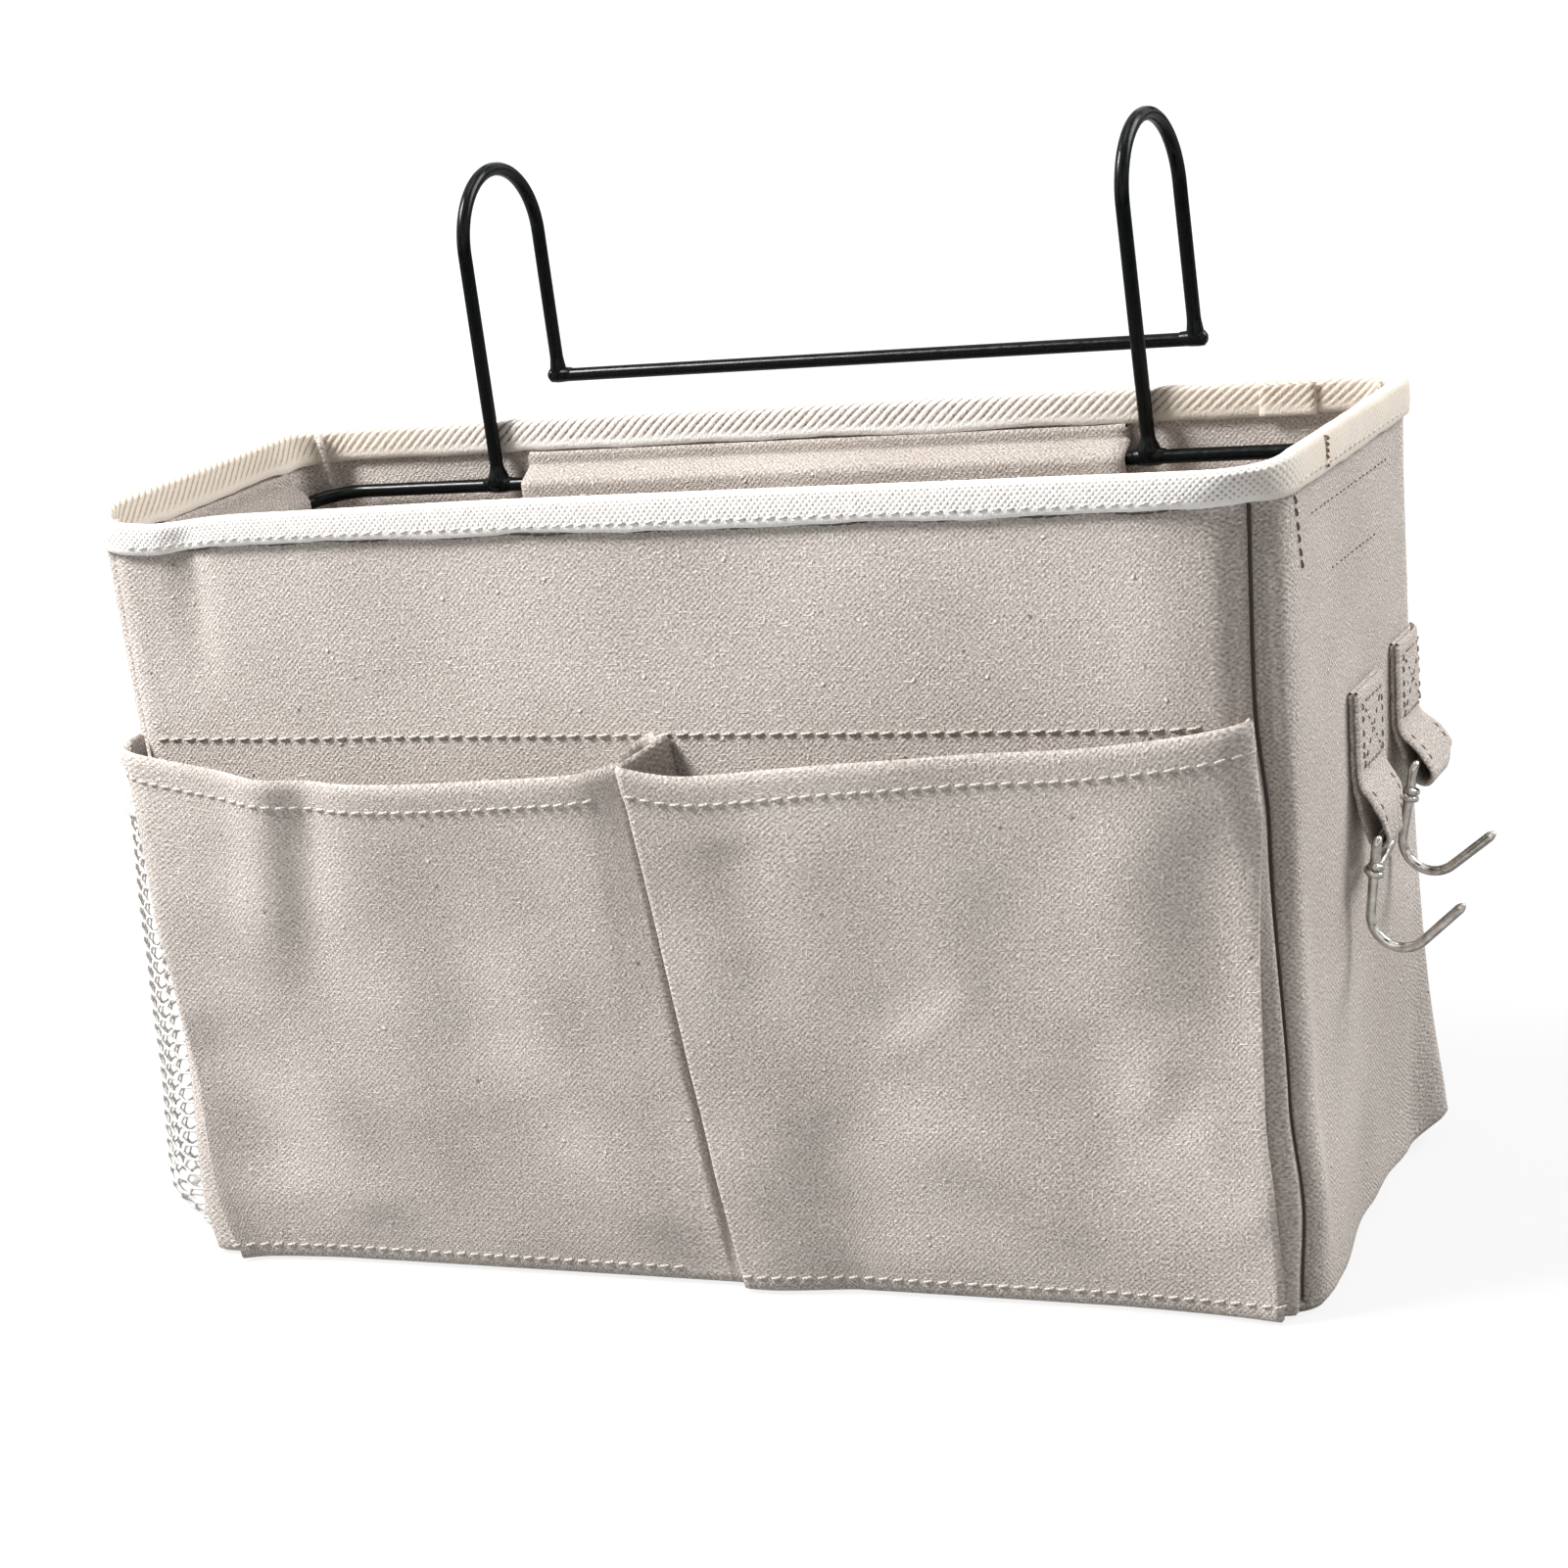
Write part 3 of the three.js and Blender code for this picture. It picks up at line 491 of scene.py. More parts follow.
def settle(p):
    """The sag of the filled-out cloth: how every sewn piece of the bag has shifted from the true form."""
    x, y, z = np.moveaxis(np.asarray(p, float), -1, 0)
    dx, dy, dz = np.zeros_like(x), np.zeros_like(x), np.zeros_like(x)
    # The lower right edge waves, and the back corner of the base stands off the floor
    right, above = smooth(x, 70, 116), np.maximum(z, 0)
    dx += right * hump(above, 0, 30) * eased(y, [-50, -35, 3, 22, 34, 47], [0, 2.2, -3.4, -5.0, -4.6, 1.2])
    dz += right * hump(above, 0, 45) * eased(y, [30, 48], [0, 4.8])
    # The front corners: the left one swells out below, the right one also leans in above
    dx -= smooth(-x, 84, 116) * smooth(-y, 0, 38) * eased(z, [0, 10, 44, 66, 100], [4.0, 5.4, 3.0, 2.0, 0])
    lean = eased(z, [0, 21, 42, 92, 116, 150, 161], [1.8, 3.4, 1.8, -1.0, -2.8, -2.2, -1.0])
    dx += smooth(x, 84, 116) * smooth(-y, 32, 46) * lean
    # The front turns away before the right seam, and its rim hangs a little
    front = smooth(-y, 30, 42)
    half, _, _, bend_radius = wall_plan(z)
    seam = half - bend_radius * (1 - math.sin(SEAM * PI / 2))
    turn = np.clip((x - seam + 21) / 21, 0, 1) ** 2 * (1 - smooth(x, seam + 0.3, seam + 4.5))
    dy += front * 3.4 * turn * smooth(z, 50, 100) * (1 - 0.8 * smooth(z, 150, 160))
    dz -= front * (0.8 + 0.8 * smooth(-x, 20, 100)) * smooth(z, 152, 161)
    dz -= smooth(y, 34, 42) * 0.7 * smooth(z, 150, 161)
    # Dent below the tape and dip of the rim near the left corner
    line = -105 + (153.4 - z) * 0.04
    dy += front * 1.8 * hump(x, line, 4.2) * smooth(z, 118, 146) * (1 - smooth(z, 155, 162))
    dz -= front * 1.4 * hump(x, -112, 12) * smooth(z, 120, 160)
    # Slow waves in the cloth, none where the wire or the hooks hold it
    loose = smooth(z, 0, 14) * (1 - 0.75 * smooth(z, 140, 156))
    dy += front * 0.55 * noise(p, 21, 1.0) * loose
    dy += smooth(y, 34, 42) * 0.8 * noise(p, 26, 2.0) * loose
    dx += smooth(np.abs(x), 100, 118) * 0.6 * noise(p, 23, 3.0) * loose * (1 - 0.7 * right * hump(z, 85, 28))
    return xyz(x + dx, y + dy, z + dz)


def corner_steps(seam):
    """Places round a corner, close together at its seam."""
    near = [seam + s * d for s in (-1, 1) for d in (0.02, 0.045, 0.075, 0.11, 0.16)]
    return np.array(sorted([*np.linspace(0, 1, 9, endpoint=False), seam, *near]))


# Columns round the wall, side by side
COLUMNS = []
for count, seam in ((118, SEAM), (40, 1 - SEAM), (100, SEAM), (40, 1 - SEAM)):
    COLUMNS += [np.linspace(0, 1, count, endpoint=False), corner_steps(seam)]
ROUND = sum(len(t) for t in COLUMNS)


def wall_row(z, off=0.0):
    """One row of points round the bag; z and off are numbers or go by column."""
    z, off = np.broadcast_to(z, ROUND), np.broadcast_to(off, ROUND)
    out, at = np.zeros((ROUND, 3)), 0
    for side, t in enumerate(COLUMNS):
        part = slice(at, at + len(t))
        out[part] = wall_point(side, t, z[part], off[part])
        at += len(t)
    return out


def from_seam(z):
    """Distance of each column from the nearest upright seam, in mm."""
    row = wall_row(z)
    return np.min([np.linalg.norm(row - wall_point(side, t, z), axis=1) for side, t in SEAMS], axis=0)


def bag():
    """The whole bag as one lofted skin: walls with sunk seams, rolled lower edge and base."""
    rows, thin = [], []
    for z in np.concatenate([np.linspace(2.4, 8, 5), np.linspace(10, WALL_TOP, 70)]):
        away = from_seam(z)
        groove = -1.7 * hump(away, 0, 0.7) - 1.0 * hump(away, 0, 2.4) + 0.28 * hump(away, 5.2, 2.2)
        rows.append(wall_row(z, groove - CANVAS / 2))
        thin.append(CANVAS * (1 - 0.6 * hump(away, 0, 0.9)))
    for z, inward in ((1.5, 0.75), (0.85, 1.3), (0.6, 2.2), (0.6, 5)):
        rows.insert(0, wall_row(z, -inward))
    # The base closes on a line that stops short of each end
    x, y, z = rows[0].T
    short = 46
    for k in (0.9, 0.75, 0.55, 0.35, 0.15, 0.02):
        shorter = np.sign(x) * np.maximum(np.abs(x) - (1 - k) * short, 0.2)
        rows.insert(0, xyz(shorter, y * k, z))
    thin = [np.full(ROUND, CANVAS)] * (len(rows) - len(thin)) + thin
    return slab(settle(np.array(rows)), np.array(thin), wrap=True)


def tape():
    """Tape folded over the rim, a little uneven along its edges."""
    top = 6.2  # where the tape begins to turn over the rim, above its lower edge
    section = [(GAP, 0.0), (GAP + TAPE * 0.5, -0.12), (GAP + TAPE, 0.25)]
    section += [(GAP + TAPE + 0.15 * math.sin(k * PI), lerp(0.25, top, k)) for k in (0.2, 0.4, 0.6, 0.8, 1)]
    turn = [(-0.6 + 1.8 * math.cos(a), top + 1.3 * math.sin(a)) for a in np.linspace(0.25, PI - 0.25, 9)]
    inner = [(-CANVAS - a, b) for a, b in section[::-1]]
    section = section + turn + inner + [(-1.5, 5.6), (0.3, 5.6), (GAP, 0.0)]
    base = wall_row(HEIGHT - TAPE_DROP)
    waver = 0.35 * noise(base, 9, 4.0) + 0.25 * noise(base, 3.4, 5.0)
    puff = 0.12 + 0.4 * smooth(base[:, 0], 112, 124)
    rows = []
    for off, up in section:
        low = 1 - min(up / 5, 1)
        rows.append(wall_row(HEIGHT - TAPE_DROP + up + waver * low, off + np.sign(off + 0.6) * puff * waver))
    mid = settle(np.array(rows))
    u, v = spans(mid, wrap=True)
    return [grid(mid, u, v, wrap=True)]


# Threads


def stitches(line, normal, pitch=3.1, length=2.35, radius=0.27, slant=10, sink=0.3):
    """Threads in a row along a line on the cloth, each a short bent rod with its ends in the cloth."""
    step, lean = 0.4, math.radians(slant)
    both = spaced(np.hstack([line, unit(normal)]), step)
    parts = []
    for k in range(int((len(both) - 1) * step / pitch)):
        i = min(int((k + 0.5) * pitch / step), len(both) - 2)
        p, n = both[i, :3], unit(both[i, 3:])
        d = unit(both[i + 1, :3] - both[i, :3])
        d = unit(d - n * (d @ n))
        d = unit(d * math.cos(lean) + np.cross(n, d) * math.sin(lean))
        s = np.linspace(-1, 1, 7)
        path = p + np.outer(s * length / 2, d) + np.outer(radius * 0.55 - (sink + radius) * s**4, n)
        parts += tube(path, radius * (1 - 0.35 * s**4), sides=7, caps=False)
    return parts


def on_wall(side, t, z, off=0.15):
    """A line on the settled wall and the way out from it."""
    p, q = settle(wall_point(side, t, z, off)), settle(wall_point(side, t, z, off + 1.0))
    return p, unit(q - p)


# Front pockets


def wall_front(x, z):
    """Y of the front wall's face at X, round the corners too."""
    f, _, d, c = wall_plan(z)
    past = np.clip(np.abs(x) - (f - c), 0, c * 0.999)
    return -d + c - np.sqrt(c * c - past * past)


# Folds of the pocket cloth: a line of X and Z, its width and its height
FOLDS = [
    ([(-84, 132), (-85, 108), (-88, 88), (-92, 62)], 8.5, 2.3),
    ([(-74.5, 132), (-76, 108), (-79, 92), (-83, 66)], 6.5, -2.0),
    ([(-114, 56), (-105, 37), (-96, 15)], 7, -1.9),
    ([(-90, 56), (-84, 26), (-78, 6)], 9, 1.4),
    ([(-36, 76), (-25, 42), (-16, 20), (-7, 4)], 9, 1.4),
    ([(-52, 96), (-44, 70), (-40, 40)], 14, -1.2),
    ([(-66, 104), (-62, 60), (-64, 20)], 12, 1.1),
    ([(18, 96), (19.5, 83), (22, 58)], 8, -1.3),
    ([(57, 75), (61.5, 67.6), (61.4, 62.4), (54.7, 57), (46.3, 51.5), (44.2, 45)], 3.4, 0.38),
    ([(44.2, 47), (51.7, 35.5), (61.6, 29), (73.5, 21.8), (87, 8)], 8, 1.2),
    ([(42, 82), (49.8, 66), (42, 54)], 8, -0.55),
    ([(70, 88), (74, 68), (77, 48)], 10, -0.9),
    ([(85, 60), (87.5, 45), (92, 26)], 7, -0.9),
    ([(99.6, 53), (97.4, 46), (93.4, 37)], 4, 0.45),
    ([(102, 51), (102, 43), (99, 33)], 5, -0.5),
    ([(101, 41), (107.8, 28.4), (115, 16)], 5.5, 1.1),
    ([(95, 100), (97, 80), (98, 60)], 8, 1.2),
    ([(113, 100), (113.4, 74), (112, 50)], 7, -1.2),
    ([(28, 40), (34, 22), (40, 4)], 9, -1.1),
]


def folds(x, z):
    """How far the folds lift the pocket cloth at points."""
    total = np.zeros_like(x)
    for line, width, height in FOLDS:
        path = spline(line, 10)
        best, share = np.full(x.shape, 1e9), np.zeros_like(x)
        for i, (a, b) in enumerate(zip(path, path[1:])):
            d = b - a
            t = np.clip(((x - a[0]) * d[0] + (z - a[1]) * d[1]) / (d @ d), 0, 1)
            off = np.hypot(x - a[0] - t * d[0], z - a[1] - t * d[1])
            near = off < best
            best = np.where(near, off, best)
            share = np.where(near, (i + t) / (len(path) - 1), share)
        ends = smooth(share, -0.12, 0.3) * (1 - smooth(share, 0.75, 1.1))
        total += height * np.exp(-((best / width) ** 2)) * ends
    return total


def pocket_plan():
    """Places along the strip: X and stand-off at the base, X and stand-off at the mouth, and height.
    A second list says how freely the cloth folds at each, from 0 to 1."""
    layer = CANVAS + GAP
    first = GAP + CANVAS / 2
    second, third = first + layer, first + 2 * layer
    seam_base = wall_point(1, SEAM, POCKET_FLOOR)[0] - 1
    seam_mouth = wall_point(1, SEAM, POCKET_TOP)[0] - 1
    pleat_front, pleat_end = 6.8, 12.8

    def straight(places, counts):
        """Even steps from place to place, where the cloth has no loose folds."""
        return [(np.linspace(a, b, n), 0) for a, b, n in zip(places, places[1:], counts)]

    def wall(share, off, height, low=first):
        """A place at a share of the way between the two seams."""
        return (lerp(-seam_base, seam_base, share), low, lerp(-seam_mouth, seam_mouth, share), off, height)

    # Each outer end is a pleat of three layers at the base, which opens into a gusset at the mouth
    left_end = [
        (-seam_base, first, -seam_mouth, first, POCKET_TOP),
        (11 - seam_base, first, 0.2 - seam_mouth, 4.4, POCKET_TOP),
        (11 - seam_base, second, 0.2 - seam_mouth, 5.6, POCKET_TOP),
        (8 - seam_base, third + 0.9, -seam_mouth - 1.4, 7.0, 113.0),
    ]
    left = [
        left_end[-1],
        wall(0.06, 8.8, 110.6, second),
        wall(0.125, 10.6, 108.8),
        wall(0.2, 12.2, 107.3),
        wall(0.28, 12.4, 106.8),
        wall(0.38, 12.2, 107.6),
        (-14, first, -14, 12.0, 108.5),
        (-7, first, -8.5, 11.0, 109.3),
        (2.2, first, -4.8, 9.7, 110.0),
    ]
    under = [
        left[-1],
        (3.5, first, -4.2, 4.6, 111.3),
        (6.0, first, -3.2, 1.9, 112.6),
        (pleat_end, first, -1.2, first, 113.2),
    ]
    pleat_back = (pleat_end, second, 2.5, first, 113.2)
    pleat_lip = (pleat_front, second, -2.9, 11.2, 110.2)
    right = [
        (pleat_front, third, -1.9, 12.4, 110.1),
        (13.0, third, 4.0, 12.1, 108.8),
        (20.0, second + 0.4, 11.0, 11.8, 108.1),
        (30.0, first, 22.4, 11.4, 108.6),
        wall(0.66, 10.6, 109.7),
        wall(0.72, 9.5, 110.4),
        wall(0.79, 8.0, 111.1),
        wall(0.86, 6.5, 111.3),
        wall(0.95, 4.6, 112.6, second),
        (seam_base - 1.5, third, seam_mouth + 0.8, 3.4, POCKET_TOP),
    ]
    right_end = [
        right[-1],
        (seam_base - 4.5, second, seam_mouth + 0.4, 2.2, 114.2),
        (seam_base - 4.5, first, seam_mouth + 0.2, 1.6, 114.2),
        (seam_base, first, seam_mouth, first, 114.2),
    ]
    pieces = straight(left_end, (7, 4, 5)) + [(spline(left, 18), 1), (spline(under, 6), 0)]
    pieces += straight([under[-1], pleat_back, pleat_lip, right[0]], (4, 12, 5)) + [(spline(right, 18), 1)]
    pieces += straight(right_end, (5, 4, 7))
    plan = np.vstack([p[:-1] for p, _ in pieces] + [pieces[-1][0][-1:]])
    free = np.concatenate([[f] * (len(p) - 1) for p, f in pieces] + [[0]])
    for _ in range(5):
        free = np.convolve(np.pad(free.astype(float), 1, mode="edge"), [0.25, 0.5, 0.25], "valid")
    return plan, free


def pockets():
    """The pocket strip's parts, a function for its lines of thread, and its plan."""
    plan, free = pocket_plan()
    base_x, base_off, mouth_x, mouth_off, height = plan.T
    height = height - 0.68  # the round edge of the hem stands above the cut
    rows = 64
    share = np.linspace(0, 1, rows)[:, None]
    x = lerp(base_x, mouth_x, share)
    z = lerp(POCKET_FLOOR, height, share)
    off = lerp(base_off, mouth_off, share**SWELL)
    # The right pleat is drawn in half way down
    last = 14  # columns of the right end
    fold = len(plan) - last
    before = smooth(base_x[: fold + 1], base_x[fold] - 18, base_x[fold])
    near = np.concatenate([before, np.linspace(1, 0, last)[1:]])
    x = x - 2.2 * near * smooth(z, 4, 24) * (1 - smooth(z, 50, 104))
    room = smooth(share, 0.0, 0.16)
    off = off + (folds(x, z) + 0.35 * noise(xyz(x, 0, z), 8, 6.0)) * free * room
    off = np.maximum(off, GAP + CANVAS / 2)
    mid = xyz(x, wall_front(x, z) - off, z)
    soft = (0.08 + 0.92 * free**2)[1:-1, None]
    for _ in range(2):
        mid[:, 1:-1] += soft * (0.25 * mid[:, :-2] - 0.5 * mid[:, 1:-1] + 0.25 * mid[:, 2:])
    mid = settle(mid)
    below = (1 - share) * (height - POCKET_FLOOR)
    hem = 1 - smooth(below, HEM - 0.7, HEM + 0.4)
    row = 0.2 * hump(below, HEM_STITCH, 0.6) + 0.25 * hump(z, BASE_STITCH, 0.8)
    n = normals(mid)
    mid = mid + n * (0.15 * hem - row * np.clip(free + 0.2, 0, 1))[..., None]
    cloth = CANVAS + 0.3 * hem
    face = mid + normals(mid) * (cloth / 2)[..., None]

    def thread(start, stop, drop=None, rise=None):
        """A line so far below the mouth, or so far above the base, from column start to stop."""
        cols = np.arange(len(plan))[start:stop]
        tall = height - POCKET_FLOOR
        at = 1 - drop / tall if rise is None else (rise - POCKET_FLOOR) / tall
        i = at[cols] * (rows - 1)
        low = np.floor(i).astype(int)
        w = (i - low)[:, None]
        return lerp(face[low, cols], face[low + 1, cols], w), normals(mid)[low, cols]

    return slab(mid, cloth), thread, plan


# Net pocket


def net_point(u, z, out=0.0):
    """A point of the bulging net; u from 0 to 1 goes from back to front."""
    u, z = np.broadcast_arrays(np.asarray(u, float), np.asarray(z, float))
    f, b, d, c = wall_plan(z)
    share = (z - NET_FLOOR) / (NET_TOP - NET_FLOOR)
    full = np.sqrt(np.maximum(1 - np.maximum(0, 1 - share / NET_RISE) ** 2, 0))
    handle = lerp(NET_LOW, NET_HIGH, share) * full * 4 / 3
    starts, ends = (xyz(*end).reshape(-1, 2) for end in ((b + GAP, d - c), (f + GAP, c - d)))
    t = np.linspace(0, 1, 41)
    bezier = (1 - t) ** 3, 3 * t * (1 - t) ** 2, 3 * t * t * (1 - t), t**3
    at = np.zeros((u.size, 2))
    way = np.zeros_like(at)
    for i, (share_along, pull) in enumerate(zip(u.reshape(-1), handle.reshape(-1))):
        p0, p3 = starts[i], ends[i]
        p1, p2 = p0 + [pull, 0], p3 + [pull * NET_FRONT, 0]
        curve = sum(np.outer(weight, p) for weight, p in zip(bezier, (p0, p1, p2, p3)))
        along = walked(curve)
        goal = share_along * along[-1]
        at[i], ahead, back = (
            [np.interp(place, along, curve[:, k]) for k in (0, 1)]
            for place in (goal, min(goal + 0.5, along[-1]), max(goal - 0.5, 0))
        )
        forward = unit(np.subtract(ahead, back))
        way[i] = [-forward[1], forward[0]]
    at = at + way * np.broadcast_to(out, u.shape).reshape(-1)[:, None]
    return settle(xyz(-at[:, 0], at[:, 1], z.reshape(-1))).reshape(u.shape + (3,))


def net():
    """Knitted net of staggered six-sided meshes, with round strands."""
    wide = walked(net_point(np.linspace(0, 1, 60), 60.0))[-1]
    columns, rows = int(wide / (CELL_WIDE * 0.75)), int((NET_TOP - NET_FLOOR) / CELL_HIGH)
    du, dz = 1 / (columns + 1 / 3), (NET_TOP - NET_FLOOR) / (rows + 0.5)
    angle = np.linspace(0, 2 * PI, 12, endpoint=False)
    corner = np.array([[2 / 3, 0], [1 / 3, 0.5], [-1 / 3, 0.5], [-2 / 3, 0], [-1 / 3, -0.5], [1 / 3, -0.5]])
    edge = np.empty((12, 2))
    edge[0::2], edge[1::2] = corner, (corner + np.roll(corner, -1, 0)) / 2
    hole = 0.56 * edge + 0.26 * np.stack([0.62 * np.cos(angle), 0.5 * np.sin(angle)], 1)
    between = lerp(edge, hole, 0.6)
    rings = [(edge, 0.32), (between, 0.26), (hole, 0.0), (between, -0.26), (edge, -0.32)]
    points = []
    for r in range(rows):
        for c in range(columns):
            middle = np.array([(c + 2 / 3) * du, NET_FLOOR + (r + 0.5 + 0.5 * (c % 2)) * dz])
            points.append([[(*(middle + point * [du, dz]), out) for point in ring] for ring, out in rings])
    p = np.array(points)
    where = net_point(np.clip(p[..., 0], 0, 1), p[..., 1], p[..., 2] + 0.6)
    parts = [grid(cell, np.linspace(0, 8, 13), np.linspace(0, 2, 5), wrap=True) for cell in where]
    for u in (0.0, 1.0):
        parts += tube(net_point(u, np.linspace(NET_FLOOR, NET_TOP, 40), 0.5), 0.5, 8)
    parts += tube(net_point(np.linspace(0, 1, 60), NET_FLOOR + 0.9, 0.4), 0.9, 8)
    return parts


def binding():
    """Tape folded over the mouth of the net."""
    u = np.linspace(0, 1, 90)
    inside = [(-0.75, 94.0), (-0.85, 98.0), (-0.8, 101.4), (0, 102.5)]
    outside = [(1.4, 102.9), (2.1, 101.6), (2.2, 98.0), (2.1, 94.0)]
    rows = []
    for out, z in inside + outside:
        waver = 0.12 * noise(xyz(u * 90, 0, z), 5, 7.0)
        rows.append(net_point(u, z, out + waver))
    return slab(np.array(rows)[::-1], 0.8)


# Sleeves and facing inside the bag


def sleeve(points, height):
    """A channel of canvas: points(along, z, rise) gives its places, with rise from 0 on the wall to 1
    round the wire."""
    drop = np.linspace(0, height, 30)[:, None]
    z = SLEEVE_TOP - drop
    rise = smooth(drop, 2.2, 6.0) * (1 - smooth(drop, height - 6.0, height - 2.2))
    along = np.linspace(0, 1, 46)[None, :]
    ends = 1 - smooth(np.minimum(along, 1 - along), 0.0, 0.035)
    return slab(points(*np.broadcast_arrays(along, z, rise)), CANVAS + 0.5 * ends)


def back_sleeve_point(along, z, rise):
    """Places of the channel round the back bar."""
    x = lerp(*BACK_SLEEVE, along)
    flat, bar = wall_plan(z)[2] - LINING_IN, BAR_Y - WIRE / 2 - GAP - CANVAS / 2
    puff = 0.35 * noise(xyz(x, 0, z), 12, 8.0)
    return settle(xyz(x, lerp(flat, bar + puff, rise), z))


def side_sleeve_point(side):
    """Places of the channel round a side arm; side is -1 on the left and 1 on the right."""

    def place(along, z, rise):
        y = lerp(*SIDE_SLEEVE, along) * side
        f, b, d, c = wall_plan(z)
        wall = lerp(f, b, (y + d - c) / (2 * (d - c))) - LINING_IN
        arm = ARM_X - WIRE / 2 - GAP - CANVAS / 2 - 0.2
        return xyz(side * lerp(wall, np.minimum(wall, arm), rise), y, z)

    return place


def facing():
    """Strip of canvas inside the front wall."""
    x, z = np.linspace(-1, 1, 90)[None, :], np.linspace(153.0, 111.2, 24)[:, None]
    x = x * (wall_point(1, SEAM, z)[..., 0] - 2.6)
    mid = settle(xyz(x, wall_front(x, z) + LINING_IN, z))
    return slab(mid[:, ::-1], CANVAS)


# Wires


def bend(points, radius, count):
    """A path through the points with round bends."""
    p = [np.asarray(q, float) for q in points]
    out = [p[0]]
    for a, b, c in zip(p, p[1:], p[2:]):
        i, o = unit(a - b), unit(c - b)
        half = math.acos(np.clip(i @ o, -1, 1)) / 2
        reach = radius / math.tan(half)
        middle = b + unit(i + o) * radius / math.sin(half)
        s, e = b + i * reach - middle, b + o * reach - middle
        whole = math.acos(np.clip(unit(s) @ unit(e), -1, 1))
        for t in np.linspace(0, 1, count):
            out.append(middle + (s * math.sin((1 - t) * whole) + e * math.sin(t * whole)) / math.sin(whole))
    return np.array(out + [p[-1]])


def hook_wire(x):
    """A hook with welds at both feet: wide at the bar and running out up the leg."""
    middle, radius = (BAR_Y + REAR_Y) / 2, REACH / 2
    a = np.linspace(PI, 0, 40)
    arc = xyz(x, middle + radius * np.cos(a), HOOK_TOP - radius + radius * np.sin(a))
    line = spaced(np.vstack([[(x, BAR_Y, BAR_Z)], arc, [(x, REAR_Y, REAR_Z)]]), 0.5)
    foot = line[:, 2] - np.where(line[:, 1] < middle, BAR_Z, REAR_Z)
    size = np.where(line[:, 1] < middle, 1.0, 0.35)
    weld = size * (1 - smooth(foot, 1.0, 4.6)) * (1 + 0.12 * noise(line, 0.9, x))
    parts = tube(line, WIRE / 2 + weld, 18)
    for y, z, grow, end in ((BAR_Y, BAR_Z, 0.5, BEAD), (REAR_Y, REAR_Z, 0.25, ROD_END)):
        s = np.sign(x) * np.linspace(-BEAD, end, 15)
        bead = xyz(x + s, y, z + 0.15)
        swell = grow * np.cos(s / BEAD * PI / 2) * (1 + 0.2 * noise(bead, 0.8, 2 + x))
        parts += tube(bead, WIRE / 2 + swell, 16)
    return parts


def frame_line():
    """The frame's path: left arm, bar along the back, right arm."""
    left = [(-ARM_X, ARM_FRONT, ARM_Z), (-ARM_X, BAR_Y, BAR_Z)]
    right = [(ARM_X, BAR_Y, BAR_Z), (ARM_X, ARM_FRONT, ARM_Z)]
    return spaced(bend(left + right, FRAME_CORNER, 14), 1.0)


def turned(turn, swing):
    """A turn about the upright axis after a swing about Y."""
    return np.array(Matrix.Rotation(turn, 3, "Z") @ Matrix.Rotation(swing, 3, "Y"))


def j_hook(at, turn, swing, closed):
    """J-hook about the bar of its eye, with a winding round the shank."""
    lean, rise = math.radians(10), math.radians(40)
    reach = TAB_WIDTH / 2 + GAP + 0.5 + HOOK_WIRE / 2
    down = np.array([-math.sin(lean), 0, -math.cos(lean)])
    outward = np.array([math.cos(lean), 0, -math.sin(lean)])

    def along(drop, y):
        return down * drop + np.array([0, y, 0])

    # The front eye closes round the foot of its loop; the rear bar is turned down behind its loop
    if closed:
        first = [along(6.2, 2.0 - reach), along(4.1, 1.2), along(0, 1.2)]
    else:
        first = [along(2.8, 9.9), along(0, 9.9)]
    eye = bend(first + [along(0, -reach), along(SHANK, -reach)], EYE_BEND, 8)
    centre = along(SHANK, -reach) + outward * CURL
    a = np.linspace(0, PI / 2 + lean + rise, 24)[1:, None]
    curve = centre - outward * CURL * np.cos(a) + down * CURL * np.sin(a)
    tip = curve[-1] + np.array([math.cos(rise), 0, math.sin(rise)]) * TIP
    line = spaced(np.vstack([eye, curve, [tip]]), 0.35)
    end = np.minimum(np.linalg.norm(line - line[-1], axis=1), 1.0)
    parts = tube(line, HOOK_WIRE / 2 * np.sqrt(np.clip(0.35 + 0.65 * end, 0, 1)), 16)
    wind = np.linspace(-0.25, 1.1, 40) * 2 * PI
    wrap = along(6.0, -reach) + np.outer(wind / (2 * PI) - 0.5, down) * 1.5
    wrap = wrap + 1.35 * (np.outer(np.cos(wind), outward) + np.outer(np.sin(wind), [0, 1, 0]))
    parts += tube(wrap, 0.7, 10)
    s = np.linspace(-1.6, 1.6, 13)
    solder = along(6.2, 0.4 - reach) + np.outer(s, down)
    parts += tube(solder, 0.9 + 0.7 * np.sqrt(np.maximum(1 - (s / 1.65) ** 2, 0)), 14)
    return [(p @ turned(turn, swing).T + at, f, c) for p, f, c in parts]


# Tabs


def round_corner(p):
    """How far the right wall falls away in X behind the start of its back corner."""
    f, b, d, c = wall_plan(p[..., 2])
    past = np.clip(p[..., 1] - (d - c), 0, c * 0.98)
    return c - np.sqrt(c * c - past * past) - past * (f - b) / (2 * (d - c))


